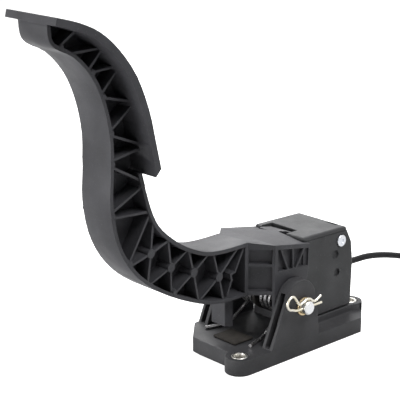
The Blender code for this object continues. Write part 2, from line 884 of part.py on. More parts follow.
def fork_side_outline():
    eye = arc(PIVOT, FORK_EYE_RADIUS, 200, 385, 14)
    return [
        (FORK_FRONT_X - 3.0, 48.1),
        (SHOULDER_X - 0.4, 48.6),
        (SHOULDER_X + 0.3, CHEEK_FOOT_Z),
        *eye,
        (16.0, 57.0),
        (FORK_REAR_X, FORK_REAR_TOP),
        (FORK_REAR_X, SHOULDER_TOP),
        (SHOULDER_X, SHOULDER_TOP),
        (FORK_FRONT_X - 3.0, FORK_FRONT_TOP),
    ]


def fork_plan_outline(inset, front_x, rear_x):
    """The fork from above: two straight cheeks, drawn in over the shoulders to the arm's width."""
    slope = (FORK_HALF_WIDTH - BODY_HALF_WIDTH) / (SHOULDER_X - FORK_FRONT_X)
    setback = inset * (math.hypot(1.0, slope) - 1.0) / slope
    shoulder = (SHOULDER_X + setback, FORK_HALF_WIDTH - inset)
    start_y = shoulder[1] - slope * (shoulder[0] - front_x)
    half = [(front_x, start_y), shoulder, (rear_x, FORK_HALF_WIDTH - inset)]
    if inset == 0:
        narrow = BODY_HALF_WIDTH - FORK_SETBACK
        half = [(front_x, narrow), (FORK_FRONT_X + 0.5, narrow), *half[1:]]
    return half + mirrored(half)


def cheek_top_at(x):
    slope = (FORK_REAR_TOP - SHOULDER_TOP) / (FORK_REAR_X - SHOULDER_X)
    return SHOULDER_TOP + slope * (x - SHOULDER_X)


def make_fork():
    fork = prism(fork_side_outline(), -FORK_HALF_WIDTH, FORK_HALF_WIDTH)
    common(fork, prism(fork_plan_outline(0.0, FORK_FRONT_X - 2.0, 30.0), 0.0, 120.0, "Z"))
    wall = POCKET_DEPTH + POCKET_WEB
    inside = [
        (-60.0, 0.0),
        (40.0, 0.0),
        (40.0, cheek_top_at(40.0) - FORK_PLATE),
        (SHOULDER_X, SHOULDER_TOP - FORK_PLATE),
        (-60.0, FORK_FRONT_TOP - FORK_PLATE + 2.0),
    ]
    hollow = prism(inside, -FORK_HALF_WIDTH, FORK_HALF_WIDTH)
    common(hollow, prism(fork_plan_outline(wall, FORK_FRONT_X + 4.5, 40.0), -5.0, 120.0, "Z"))
    cheek_y = FORK_HALF_WIDTH - CHEEK
    cut(fork, hollow, box((-15.5, 40.0), (-cheek_y, cheek_y), (-5.0, 62.5)))
    rear = HOUSING_FRONT_X - 0.6
    cut(fork, box((rear, 40.0), (-cheek_y, cheek_y), (-5.0, 120.0)))
    cut(fork, box((SHOULDER_X - 5.0, 40.0), (-cheek_y, cheek_y), (-5.0, COIL_WINDOW_Z)))
    for side in (-1, 1):
        cut(fork, rear_facet(side), *cheek_pockets(side), *shoulder_pockets(side))
    return fork


def rear_facet(side):
    """What lies above the slanted rear half of the top: it falls away from a crease that runs across."""
    crease = Vector((CREASE_REACH, FORK_HALF_WIDTH))
    across = Vector((crease.y, -crease.x)).normalized()
    fall = (SHOULDER_TOP - FORK_REAR_TOP) / ((FORK_REAR_X - SHOULDER_X) * across.x)
    facet = prism([(0.0, 0.0), (70.0, -70.0 * fall), (70.0, 20.0), (0.0, 20.0)], -40.0, 90.0)
    facet.data.transform(Matrix.Rotation(-math.atan2(crease.x, crease.y), 4, "Z"))
    facet.data.transform(Matrix.Translation(Vector((SHOULDER_X, -FORK_HALF_WIDTH, SHOULDER_TOP)) * MM))
    if side > 0:
        facet.data.transform(Matrix.Diagonal((1.0, -1.0, 1.0, 1.0)))
        facet.data.flip_normals()
    return facet


def cheek_pockets(side):
    """The recess in a cheek's outer face, shallower beside the housing, with ribs that fan out from the pin."""
    low, middle, high = SHOULDER_X + 3.0, HOUSING_FRONT_X - 1.2, FORK_REAR_X - 2.1
    rim = 3.4
    pockets = []
    for start, end, depth in ((low, middle, POCKET_DEPTH), (middle - 0.1, high, REAR_POCKET_DEPTH)):
        foot = [65.8 - 0.075 * (x - low) for x in (start, end)]
        outline = [(start, foot[0]), (end, foot[1]), (end, cheek_top_at(end) - rim), (start, cheek_top_at(start) - rim)]
        deep = FORK_HALF_WIDTH - depth
        pocket = prism(outline, *sorted((side * deep, side * (FORK_HALF_WIDTH + 5.0))))
        for top_x, foot_x in ((-13.6, -4.2), (-0.3, 0.6), (13.2, 3.2)):
            cut(pocket, plank((top_x, cheek_top_at(top_x) - 1.0), (foot_x, 63.5), FORK_HALF_WIDTH + 9.0))
        pockets.append(pocket)
    return pockets


def shoulder_pockets(side):
    """Two recesses one above the other in each slanted shoulder."""
    run = SHOULDER_X - FORK_FRONT_X
    rise = FORK_HALF_WIDTH - BODY_HALF_WIDTH
    length = math.hypot(run, rise)
    along = Vector((run, rise)) / length
    outward = Vector((-along.y, along.x))
    start = Vector((FORK_FRONT_X, BODY_HALF_WIDTH)) + along * 0.8
    end = start + along * (length - 2.8)
    inward = outward * SHOULDER_POCKET_DEPTH
    plan = [(v.x, side * v.y) for v in (start - inward, end - inward, end + outward * 9, start + outward * 9)]
    return [prism(plan, low, high, "Z") for low, high in ((51.4, 70.1), (71.9, 82.6))]


def drive_pin_place():
    return on_circle(PIVOT, DRIVE_RADIUS, DRIVE_ANGLE)


def make_tongue():
    """The tongue rests on the bumper, and the finger below it carries the drive pin."""
    top = TONGUE_TOP
    tongue = prism(TONGUE_OUTLINE, tongue_low(), top, "Z")
    pin = drive_pin_place()
    left = on_circle(pin, 4.0, 180)
    finger = [
        (HOUSING_FRONT_X + 1.0, top - 1.0),
        (left[0] - 0.4, pin[1] + 6.0),
        *arc(pin, 4.0, 180, 360, 8),
        (FINGER_REAR_X, top - 1.0),
    ]
    fuse(tongue, prism(finger, *FINGER_Y))
    return fuse(tongue, rod(pin, DRIVE_PIN_RADIUS, FINGER_Y[1] - 1.0, ROTOR_Y[1] + 1.0, steps=16))


def make_stop_block():
    """The block lands flat on the floor pad when the pedal is fully down."""
    pad_top = FLANGE_TOP + GAP + PAD_THICKNESS
    front, rear = STOP_BLOCK_X
    landed_x = turned_about_pivot((front, 25.0), PRESS_ANGLE)[0]
    foot_front = turned_about_pivot((landed_x, pad_top + GAP), -PRESS_ANGLE)
    foot_rear = turned_about_pivot((landed_x + rear - front, pad_top + GAP), -PRESS_ANGLE)
    outline = [foot_front, foot_rear, (rear, 49.5), (front, 49.5)]
    return prism(outline, -STOP_BLOCK_HALF_WIDTH, STOP_BLOCK_HALF_WIDTH)


def make_arm(parent):
    rib_half = BODY_HALF_WIDTH - RIB_SETBACK
    arm = prism(web_outline(), -WEB / 2, WEB / 2)
    pieces = [
        prism(strip(front_edge(), SKIN, 1), -BODY_HALF_WIDTH, BODY_HALF_WIDTH),
        prism(strip(back_edge(), BACK_SKIN, -1), -BODY_HALF_WIDTH, BODY_HALF_WIDTH),
        prism(foot_plate_outline(), -TREADLE_HALF_WIDTH, TREADLE_HALF_WIDTH),
    ]
    pieces += [plank(start, end, rib_half) for start, end in ARM_RIBS]
    half = rib_half
    for boss, *struts in ARM_TRUSS:
        for top, foot in struts:
            pieces += [plank(top, boss, half), plank(boss, foot, half)]
        pieces.append(rod(boss, MID_BOSS_RADIUS, -rib_half - 0.4, rib_half + 0.4, steps=14))
        half -= RIB_STAGGER
    for start, end in zip(BENT_RIB, BENT_RIB[1:]):
        half -= RIB_STAGGER
        pieces.append(plank(start, end, half, bite=ARM_RIB / 2))
    pieces += [rod(p, EDGE_BOSS_RADIUS, -rib_half - 0.4, rib_half + 0.4, steps=12) for p in EDGE_BOSSES]
    fuse(arm, *pieces, make_fork(), make_tongue(), make_stop_block())
    bush_hole = PIN_RADIUS + RUNNING_GAP + BUSH_WALL + GAP
    cut(arm, rod(PIVOT, bush_hole, -60.0, 60.0))
    finished(arm, "pedal_arm", "arm_plastic", parent)


def make_arm_bushes(parent):
    bore = PIN_RADIUS + RUNNING_GAP
    outer = bore + BUSH_WALL
    inner_face = FORK_HALF_WIDTH - CHEEK - GAP
    for name, side in (("arm_bush_near", -1), ("arm_bush_far", 1)):
        profile = [
            (bore, side * FORK_HALF_WIDTH),
            (outer, side * FORK_HALF_WIDTH),
            (outer, side * inner_face),
            (BUSH_FLANGE_RADIUS, side * inner_face),
            (BUSH_FLANGE_RADIUS, side * (inner_face - BUSH_FLANGE)),
            (bore, side * (inner_face - BUSH_FLANGE)),
        ]
        finished(turned(profile, PIVOT), name, "bearing_plastic", parent)


# Springs


def spring_points(side):
    """The wire from its tip on the floor, under the pin, round the coil and forward under the arm."""
    on_floor = FLANGE_TOP + WIRE_RADIUS + GAP
    centre = Vector(PIVOT)
    to_knee = Vector((LEG_KNEE[0], on_floor)) - centre
    start = math.atan2(to_knee.y, to_knee.x) + math.acos(COIL_RADIUS / to_knee.length)
    arm_under = 48.1 - WIRE_RADIUS - 2 * GAP
    upper = Vector((UPPER_LEG_X, arm_under)) - centre
    end = math.atan2(upper.y, upper.x) - math.acos(COIL_RADIUS / upper.length)
    while end < start + 2 * math.pi * COIL_TURNS:
        end += 2 * math.pi
    steps = round((end - start) / (2 * math.pi) * CURL_STEPS)
    points = [(x, side * y, on_floor) for x, y in (LEG_TIP, LEG_KNEE)]
    for i in range(steps + 1):
        share = i / steps
        angle = start + (end - start) * share
        y = COIL_OUTER_Y + (COIL_INNER_Y - COIL_OUTER_Y) * share
        x = centre.x + COIL_RADIUS * math.cos(angle)
        z = centre.y + COIL_RADIUS * math.sin(angle)
        points.append((x, side * y, z))
    return points + [(UPPER_LEG_X, side * COIL_INNER_Y, arm_under)]


def least_self_gap(points, radius, apart):
    """The smallest gap between stretches of a wire that lie more than apart along it."""
    fine = []
    for a, b in zip(points, points[1:]):
        a, b = Vector(a), Vector(b)
        count = max(1, round((b - a).length / radius))
        fine += [a.lerp(b, i / count) for i in range(count)]
    travelled = [0.0]
    for a, b in zip(fine, fine[1:]):
        travelled.append(travelled[-1] + (b - a).length)
    least = math.inf
    for i, here in enumerate(fine):
        for j in range(i + 1, len(fine)):
            if travelled[j] - travelled[i] > apart:
                least = min(least, (fine[j] - here).length)
    return least - 2 * radius


def make_springs():
    for name, side in (("return_spring_near", -1), ("return_spring_far", 1)):
        points = spring_points(side)
        print(f"{name}: least gap to itself {least_self_gap(points, WIRE_RADIUS, 3 * COIL_RADIUS):.2f} mm")
        finished(baked(tube(points, WIRE_RADIUS, 1)), name, "spring_steel")


def make_spool():
    """A plastic sleeve on the pin inside the coils, with a collar that parts them."""
    bore = PIN_RADIUS + RUNNING_GAP
    outer = COIL_RADIUS - WIRE_RADIUS - 0.7
    end = FORK_HALF_WIDTH - CHEEK - GAP - BUSH_FLANGE - GAP
    profile = [
        (bore, -end),
        (outer, -end),
        (outer, -SPOOL_COLLAR / 2),
        (SPOOL_COLLAR_RADIUS, -SPOOL_COLLAR / 2),
        (SPOOL_COLLAR_RADIUS, SPOOL_COLLAR / 2),
        (outer, SPOOL_COLLAR / 2),
        (outer, end),
        (bore, end),
    ]
    finished(turned(profile, PIVOT), "spring_spool", "bearing_plastic")


# Sensor housing


def housing_top_at(x):
    return HOUSING_FRONT_TOP - HOUSING_TOP_FALL * (x - HOUSING_FRONT_X)


def housing_bottom():
    return DECK_TOP + GAP


def housing_outline():
    bottom = housing_bottom()
    return [
        (HOUSING_FRONT_X, bottom),
        (HOUSING_FRONT_X, HOUSING_FRONT_TOP),
        (HOUSING_TOP_REAR_X, housing_top_at(HOUSING_TOP_REAR_X)),
        *HOUSING_BACK,
        (HOUSING_FOOT_X, bottom),
    ]


def housing_block():
    block = prism(housing_outline(), -HOUSING_HALF_WIDTH, HOUSING_HALF_WIDTH)
    return bevelled(block, HOUSING_EDGE_RADIUS, 2, 30.0)


def below_seam(extra):
    """Everything under the cover's seam, plus or minus extra."""
    drop = COVER_THICKNESS - extra
    return prism(
        [
            (-10.0, -20.0),
            (-10.0, housing_top_at(-10.0) - drop),
            (110.0, housing_top_at(110.0) - drop),
            (110.0, -20.0),
        ],
        -60.0,
        60.0,
    )


def inside_outline(inset):
    """The housing's side view drawn in by a wall, and open above the seam."""
    x_front = HOUSING_FRONT_X + inset
    x_rear = HOUSING_TOP_REAR_X - inset
    upper, middle = HOUSING_BACK
    return [
        (x_front, housing_bottom() + inset),
        (x_front, 100.0),
        (x_rear, 100.0),
        (x_rear, housing_top_at(HOUSING_TOP_REAR_X) - 2.0 - inset),
        (upper[0] - inset, upper[1] - inset / 2),
        (middle[0] - inset, middle[1]),
        (HOUSING_FOOT_X - inset, housing_bottom() + inset),
    ]


def notch_box():
    return box((HOUSING_FRONT_X - 5.0, NOTCH_REAR_X), NOTCH_Y, (NOTCH_BOTTOM_Z, 120.0))


def cover_screw_lug(side):
    """The block under the cover that a side screw enters."""
    outer = HOUSING_HALF_WIDTH - HOUSING_WALL - GAP
    y = sorted((side * (outer - 8.0), side * outer))
    top = housing_top_at(COVER_SCREW_X) - 1.0
    rear = HOUSING_TOP_REAR_X - HOUSING_WALL - GAP
    return box((COVER_SCREW_X - 4.5, rear), y, (COVER_SCREW_Z - 4.5, top))


def make_housing():
    body = housing_block()
    common(body, below_seam(-GAP / 2))
    inner_half = HOUSING_HALF_WIDTH - HOUSING_WALL
    cut(body, prism(inside_outline(HOUSING_WALL), -inner_half, inner_half))
    floor = housing_bottom() + HOUSING_WALL
    for x, y in housing_screw_places():
        fuse(body, rod((x, y), SCREW_POST_RADIUS, floor - 1.0, floor + SCREW_LENGTH - 3.0, "Z", 16))
    fuse(body, *shaft_boss(), *board_rails(floor))
    cut(body, notch_box())
    fuse(body, bumper_shelf())
    for x, y in housing_screw_places():
        cut(body, rod((x, y), SCREW_RADIUS + GAP, 0.0, housing_bottom() + SCREW_LENGTH - 2.0, "Z", 16))
    cut(body, rod((ROTOR_X, ROTOR_Z), SHAFT_RADIUS + GAP, 0.0, HOUSING_HALF_WIDTH - 1.2, steps=16))
    cut(body, rod((0.0, CABLE_Z), GLAND_RADIUS + GAP, 50.0, 90.0, "X", 20))
    for side in (-1, 1):
        edge = side * HOUSING_HALF_WIDTH
        head = sorted((edge, edge - side * 1.2))
        place = (COVER_SCREW_X, COVER_SCREW_Z)
        wide = COVER_SCREW_HEAD_RADIUS + GAP
        cut(body, rod(place, SCREW_RADIUS + GAP, *sorted((side * 15.0, side * 40.0)), steps=16))
        cut(body, rod(place, wide, *sorted((head[0 if side < 0 else 1] + side * 5.0, edge - side * 1.2))))
    for x, z, radius in BLIND_HOLES:
        depth = BLIND_HOLE_DEPTH - HOUSING_HALF_WIDTH
        cut(body, rod((x, z), radius, -HOUSING_HALF_WIDTH - 5.0, depth, steps=16))
    finished(body, "sensor_housing", "housing_plastic")


def shaft_boss():
    inner = HOUSING_HALF_WIDTH - HOUSING_WALL
    return [rod((ROTOR_X, ROTOR_Z), SHAFT_RADIUS + 2.6, ROTOR_Y[1] + 1.3, inner + 1.0, steps=16)]


def board_rails(floor):
    """Two ribs on the housing's floor that hold the board's lower edge."""
    low = BOARD_Y - GAP
    high = BOARD_Y + BOARD_THICKNESS + GAP
    x = (BOARD_X[0] + 4.0, BOARD_X[1] - 4.0)
    z = (floor - 1.0, BOARD_Z[0] + 2.5)
    return [box(x, (low - 1.6, low), z), box(x, (high, high + 1.6), z)]


def bumper_shelf():
    """The ledge in the notch that carries the bumper, beside the finger's way."""
    y = (NOTCH_Y[0] - 1.0, FINGER_Y[0] - 0.5)
    x = (HOUSING_FRONT_X + 0.4, BUMPER_X[1] + 1.0)
    top = bumper_low() - GAP
    return box(x, y, (top - SHELF_THICKNESS, top))


def bumper_low():
    return tongue_low() - GAP - BUMPER_THICKNESS


def make_bumper():
    bumper = box(BUMPER_X, BUMPER_Y, (bumper_low(), tongue_low() - GAP))
    finished(bevelled(bumper, 0.5, 1), "idle_bumper", "rubber")


def tongue_low():
    return TONGUE_TOP - TONGUE_THICKNESS


def make_cover():
    cover = housing_block()
    cut(cover, below_seam(GAP / 2))
    lip_half = HOUSING_HALF_WIDTH - HOUSING_WALL - GAP
    lip = prism(inside_outline(HOUSING_WALL + GAP), -lip_half, lip_half)
    wall = HOUSING_WALL + GAP + COVER_LIP_WALL
    core_half = lip_half - COVER_LIP_WALL
    cut(lip, prism([(x, z - 8.0) for x, z in inside_outline(wall)], -core_half, core_half))
    common(lip, below_seam(1.0))
    cut(lip, below_seam(-COVER_LIP_DEPTH))
    fuse(cover, lip)
    for side in (-1, 1):
        fuse(cover, cover_screw_lug(side))
        hole = sorted((side * 15.5, side * 40.0))
        cut(cover, rod((COVER_SCREW_X, COVER_SCREW_Z), SCREW_RADIUS + GAP, *hole, steps=16))
    cut(cover, notch_box())
    half = LATCH_SLOT_WIDTH / 2
    top = housing_top_at(LATCH_SLOT_X)
    slot = box((LATCH_SLOT_X - half, LATCH_SLOT_X + half), LATCH_SLOT_Y, (top - LATCH_SLOT_DEPTH, top + 5.0))
    cut(cover, slot)
    finished(cover, "housing_cover", "housing_plastic")


def screw_profile(head_radius, head, length, face, direction):
    """A pan head with a recess, and its shank, from the head's face along the axis."""
    edge = 0.5
    return [
        (0.0, face - direction * (head - 1.2)),
        (1.4, face - direction * (head - 0.9)),
        (1.6, face - direction * head),
        (head_radius - edge, face - direction * head),
        (head_radius, face - direction * (head - edge)),
        (head_radius, face),
        (SCREW_RADIUS, face),
        (SCREW_RADIUS, face + direction * (length - 1.0)),
        (SCREW_RADIUS - 0.9, face + direction * length),
        (0.0, face + direction * length),
    ]


def make_cover_screws():
    for name, side in (("cover_screw_near", -1), ("cover_screw_far", 1)):
        face = side * (HOUSING_HALF_WIDTH - 1.2 + GAP)
        profile = screw_profile(COVER_SCREW_HEAD_RADIUS, COVER_SCREW_HEAD, 8.0, face, -side)
        screw = turned(profile, (COVER_SCREW_X, COVER_SCREW_Z), closed=False, steps=20)
        finished(screw, name, "screw_steel")


def make_housing_screws():
    face = DECK_TOP - FLOOR_THICKNESS - GAP
    for number, place in enumerate(housing_screw_places(), 1):
        profile = screw_profile(SCREW_HEAD_RADIUS, SCREW_HEAD, SCREW_LENGTH, face, 1)
        finished(turned(profile, place, "Z", 16, closed=False), f"housing_screw_{number}", "screw_steel")


# Sensor


def make_rotor(parent):
    """A hub with a forked lever, which the arm's drive pin turns."""
    centre = Vector((ROTOR_X, ROTOR_Z))
    pin = Vector(drive_pin_place())
    along = (pin - centre).normalized()
    side = Vector((-along.y, along.x))
    half = ROTOR_SLOT_HALF + 3.0
    lever = [
        centre - side * half * 0.9,
        centre + along * ROTOR_REACH - side * half,
        centre + along * ROTOR_REACH + side * half,
        centre + side * half * 0.9,
    ]
    rotor = rod((ROTOR_X, ROTOR_Z), ROTOR_HUB_RADIUS, ROTOR_Y[0], ROTOR_Y[1] + 1.0)
    fuse(rotor, prism([tuple(v) for v in lever], *ROTOR_Y))
    slot = [
        centre + along * ROTOR_SLOT_START - side * ROTOR_SLOT_HALF,
        centre + along * (ROTOR_REACH + 5.0) - side * ROTOR_SLOT_HALF,
        centre + along * (ROTOR_REACH + 5.0) + side * ROTOR_SLOT_HALF,
        centre + along * ROTOR_SLOT_START + side * ROTOR_SLOT_HALF,
    ]
    cut(rotor, prism([tuple(v) for v in slot], ROTOR_Y[0] - 2.0, ROTOR_Y[1] + 2.0))
    cut(rotor, rod((ROTOR_X, ROTOR_Z), SHAFT_RADIUS + GAP, ROTOR_Y[0] + 1.0, ROTOR_Y[1] + 3.0, steps=16))
    finished(rotor, "sensor_rotor", "bearing_plastic", parent)
    face = ROTOR_Y[0] - GAP
    magnet = rod((ROTOR_X, ROTOR_Z), MAGNET_RADIUS, face - MAGNET_THICKNESS, face)
    finished(bevelled(magnet, 0.3, 1), "sensor_magnet", "magnet", parent)


def make_shaft():
    start, end = ROTOR_Y[0] + 1.0 + GAP, HOUSING_HALF_WIDTH - 1.2 - GAP
    finished(rod((ROTOR_X, ROTOR_Z), SHAFT_RADIUS, start, end, steps=16), "sensor_shaft", "pin_steel")


def make_board():
    board = box(BOARD_X, (BOARD_Y, BOARD_Y + BOARD_THICKNESS), BOARD_Z)
    notch = box((BOARD_X[0] - 5.0, BOARD_X[0] + 3.0), (-5.0, 5.0), (BOARD_Z[0] - 5.0, BOARD_Z[0] + 5.0))
    finished(cut(board, notch), "sensor_board", "circuit_board")
    low = BOARD_Y + BOARD_THICKNESS + GAP
    half = CHIP_SIZE / 2
    chip = box((ROTOR_X - half, ROTOR_X + half), (low, low + CHIP_THICKNESS), (ROTOR_Z - half, ROTOR_Z + half))
    finished(bevelled(chip, 0.3, 1), "sensor_chip", "chip")


# Cable


def make_gland():
    """A rubber grommet in the rear wall, with a tapered sleeve behind it."""
    wall_outside = HOUSING_BACK[1][0] + 0.4
    wall_inside = wall_outside - HOUSING_WALL - 2.0
    bore = CABLE_RADIUS + GAP
    profile = [
        (bore, wall_inside - 1.6),
        (GLAND_RADIUS - 0.4, wall_inside - 1.6),
        (GLAND_RADIUS, wall_inside),
        (GLAND_RADIUS, wall_outside),
        (GLAND_FLANGE_RADIUS, wall_outside),
        (GLAND_FLANGE_RADIUS, wall_outside + 1.4),
        (GLAND_RADIUS - 0.6, wall_outside + 2.0),
        (CABLE_RADIUS + 1.4, wall_outside + 12.0),
        (bore, wall_outside + 12.0),
    ]
    finished(turned(profile, (0.0, CABLE_Z), "X", 20), "cable_gland", "rubber")


def coil_points():
    """Two layers of loops: inwards on the floor, a climb where the spiral turns back, and outwards."""
    end_x, end_y, end_z = CABLE_ROUTE[-1]
    outer = COIL_MEAN_RADIUS + COIL_PITCH * COIL_TURNS_A_LAYER / 2
    centre = (end_x + 2 * CABLE_RADIUS + GAP, end_y - outer)
    half_turn = math.pi
    layer = 2 * math.pi * COIL_TURNS_A_LAYER
    total = 2 * layer + half_turn
    steps = round(total / (2 * math.pi) * LOOP_STEPS)
    points = [(end_x + GAP, end_y, end_z), (centre[0] - 1.0, end_y, end_z)]
    for i in range(steps + 1):
        turned_by = total * i / steps
        radius = outer - COIL_PITCH * min(turned_by, total - turned_by) / (2 * math.pi)
        climbed = min(max((turned_by - layer) / half_turn, 0.0), 1.0)
        z = end_z + COIL_PITCH * (1 - math.cos(math.pi * climbed)) / 2
        angle = math.pi / 2 - turned_by
        points.append((centre[0] + radius * math.cos(angle), centre[1] + radius * math.sin(angle), z))
    run_out = Vector((-COIL_RUN_OUT, 0.0, 0.0))
    points.append(tuple(Vector(points[-1]) + run_out))
    return points


def length_of(points):
    return sum((Vector(b) - Vector(a)).length for a, b in zip(points, points[1:]))


def make_cable():
    route = smooth(CABLE_ROUTE, ROUTE_STEPS)
    finished(tube(route, CABLE_RADIUS, 2), "cable", "cable_jacket")
    loops = coil_points()
    print(f"cable_coil: least gap to itself {least_self_gap(loops, CABLE_RADIUS, 40.0):.2f} mm")
    print(f"cable: {length_of(route) + length_of(loops):.0f} mm in all")
    finished(tube(loops, CABLE_RADIUS, 1), "cable_coil", "cable_jacket")
    return loops


def make_connector(loops):
    """A sealed plug: a round collar on the cable, a rectangular body and a latch on top."""
    last, before = Vector(loops[-1]), Vector(loops[-2])
    along = (last - before).normalized()
    start = last + along * GAP
    half = last.z - 0.1
    body = box((8.0, PLUG_LENGTH), (-PLUG_WIDTH / 2, PLUG_WIDTH / 2), (-half, half))
    body = bevelled(body, 1.2, 2)
    fuse(body, rod((0.0, 0.0), PLUG_COLLAR_RADIUS, 0.0, 9.0, "X", 20))
    fuse(body, box((12.0, 24.0), (-2.5, 2.5), (half - 1.0, half + 1.6)))
    socket = box((PLUG_LENGTH - 12.0, PLUG_LENGTH + 5.0), (-PLUG_WIDTH / 2 + 2, PLUG_WIDTH / 2 - 2), (-half + 2, half - 2))
    cut(body, socket)
    body.data.transform(Matrix.Rotation(math.atan2(along.y, along.x), 4, "Z"))
    body.data.transform(Matrix.Translation(start * MM))
    finished(body, "connector", "housing_plastic")


def main():
    pedal_axis = axis_empty("pedal_axis", *PIVOT)
    rotor_axis = axis_empty("rotor_axis", ROTOR_X, ROTOR_Z)
    make_base()
    make_sleeves()
    make_floor_pad()
    make_pin()
    make_washer()
    make_clip()
    make_arm(pedal_axis)
    make_arm_bushes(pedal_axis)
    make_springs()
    make_spool()
    make_housing()
    make_bumper()
    make_cover()
    make_cover_screws()
    make_housing_screws()
    make_rotor(rotor_axis)
    make_shaft()
    make_board()
    make_gland()
    make_connector(make_cable())


main()
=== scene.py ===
# %% [markdown]
# # A floor-mounted electronic foot pedal
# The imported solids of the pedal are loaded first. They are the fixed frame: nothing moves them, and each
# finer piece that follows is built in the same metres, round the same axes. The front of the pedal is at
# -X, the cable leaves at +X, and the spring clip is on the near side, at -Y. Sizes of the pedal's own
# pieces are written in millimetres, and the camera, the floor and the lamps are placed in metres.

# %% Load the frame
import json
import math

import bmesh
import bpy
from mathutils import Matrix, Vector
from mathutils.bvhtree import BVHTree


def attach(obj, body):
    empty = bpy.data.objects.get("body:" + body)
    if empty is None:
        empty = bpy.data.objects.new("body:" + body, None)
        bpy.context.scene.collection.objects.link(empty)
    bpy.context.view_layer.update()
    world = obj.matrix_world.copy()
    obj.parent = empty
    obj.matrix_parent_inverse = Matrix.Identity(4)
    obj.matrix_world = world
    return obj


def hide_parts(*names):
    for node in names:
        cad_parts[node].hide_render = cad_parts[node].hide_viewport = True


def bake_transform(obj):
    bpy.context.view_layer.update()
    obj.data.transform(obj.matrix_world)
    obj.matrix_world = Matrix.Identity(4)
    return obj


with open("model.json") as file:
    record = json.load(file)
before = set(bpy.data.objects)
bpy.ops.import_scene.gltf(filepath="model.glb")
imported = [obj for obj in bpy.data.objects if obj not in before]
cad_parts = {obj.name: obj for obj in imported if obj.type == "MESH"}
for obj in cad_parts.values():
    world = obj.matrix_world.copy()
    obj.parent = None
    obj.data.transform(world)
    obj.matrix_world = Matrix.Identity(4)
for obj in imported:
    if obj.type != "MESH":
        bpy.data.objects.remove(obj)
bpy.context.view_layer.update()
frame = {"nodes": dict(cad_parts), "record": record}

MM = 0.001

# %% [markdown]
# ## The camera
# The photograph looks down at the pedal from the front left, through a long lens. A view guessed by eye
# never quite fits, so the lens and the place were fitted to points of the photograph whose places on the
# pedal are known, such as the pin, the bolt holes and the corners of the base.

# %% Camera
CAMERA_PLACE = (-0.6344, -0.6227, 0.3714)
CAMERA_TILT = 16.415  # degrees below the horizon
CAMERA_TURN = -42.435  # degrees about the vertical
LENS = 114.36
SENSOR_WIDTH = 36.0
FARTHEST_SEEN = 20.0

camera_data = bpy.data.cameras.new("camera")
camera_data.lens = LENS
camera_data.sensor_width = SENSOR_WIDTH
camera_data.clip_end = FARTHEST_SEEN
camera = bpy.data.objects.new("camera", camera_data)
camera.location = CAMERA_PLACE
camera.rotation_euler = (math.radians(90 - CAMERA_TILT), 0.0, math.radians(CAMERA_TURN))
bpy.context.scene.collection.objects.link(camera)
bpy.context.scene.camera = camera
bpy.context.scene.view_settings.view_transform = "Standard"
print("camera at", CAMERA_PLACE, "lens", LENS)

# %% [markdown]
# ## The cable
# A thin round lead leaves the back of the housing, sags to the floor and ends in a sealed plug. The
# photograph shows only its first stretch, so the rest is put away as a coil on the floor. A cord could be a
# mesh swept along a path, but a curve with a round bevel stays one clean tube however tightly it winds. The
# first stretch is a given list of points, and a loop works out the turns of the coil.

# %% Cable route
CABLE_RADIUS = 2.5
CABLE_ROUTE = (
    (61.5, 0.0, 41.0),
    (66.0, 0.0, 41.0),
    (76.0, 0.0, 41.0),
    (88.0, 0.0, 40.7),
    (99.6, 0.0, 40.2),
    (114.2, 0.0, 39.8),
    (126.6, 0.0, 38.2),
    (139.3, 0.0, 35.6),
    (150.0, 0.0, 32.8),
    (158.9, 0.0, 30.2),
    (170.0, 0.0, 26.0),
    (182.0, 0.0, 20.4),
    (194.0, 0.0, 14.0),
    (206.0, 0.0, 8.2),
    (217.0, 0.0, 4.4),
    (227.0, 0.0, 2.9),
    (236.0, 0.0, 2.6),
)
ROUTE_STEPS = 6
TOUCH = 0.3  # the clearance between parts that rest on each other


def smooth(points, steps):
    """A curve through the points, with the same number of steps between each two."""
    ends = [points[0], *points, points[-1]]
    curve = []
    for four in zip(ends, ends[1:], ends[2:], ends[3:]):
        for i in range(steps):
            t = i / steps
            weights = (
                -0.5 * t + t**2 - 0.5 * t**3,
                1 - 2.5 * t**2 + 1.5 * t**3,
                0.5 * t + 2 * t**2 - 1.5 * t**3,
                -0.5 * t**2 + 0.5 * t**3,
            )
            curve.append(tuple(sum(w * p[k] for w, p in zip(weights, four)) for k in range(3)))
    return curve + [points[-1]]


# %% Cable coil
COIL_PITCH = 5.6
COIL_MEAN_RADIUS = 27.5
COIL_TURNS_A_LAYER = 3.5
COIL_RUN_IN = 1.0
COIL_RUN_OUT = 24.0
LOOP_STEPS = 48


def coil_points():
    """Loops that wind inwards on the floor, climb, and wind outwards on top."""
    end_x, end_y, end_z = CABLE_ROUTE[-1]
    outer = COIL_MEAN_RADIUS + COIL_PITCH * COIL_TURNS_A_LAYER / 2
    centre = (end_x + 2 * CABLE_RADIUS + TOUCH, end_y - outer)
    layer = 2 * math.pi * COIL_TURNS_A_LAYER
    total = 2 * layer + math.pi
    steps = round(total / (2 * math.pi) * LOOP_STEPS)
    points = [(centre[0] - COIL_RUN_IN, end_y, end_z)]
    for i in range(steps + 1):
        turned_by = total * i / steps
        radius = outer - COIL_PITCH * min(turned_by, total - turned_by) / (2 * math.pi)
        climbed = min(max((turned_by - layer) / math.pi, 0.0), 1.0)
        z = end_z + COIL_PITCH * (1 - math.cos(math.pi * climbed)) / 2
        angle = math.pi / 2 - turned_by
        points.append((centre[0] + radius * math.cos(angle), centre[1] + radius * math.sin(angle), z))
    points.append((points[-1][0] - COIL_RUN_OUT, points[-1][1], points[-1][2]))
    return points


cable_points = smooth(CABLE_ROUTE, ROUTE_STEPS) + coil_points()
cable_length = sum((Vector(b) - Vector(a)).length for a, b in zip(cable_points, cable_points[1:]))
print(f"cable length {cable_length:.0f} mm")

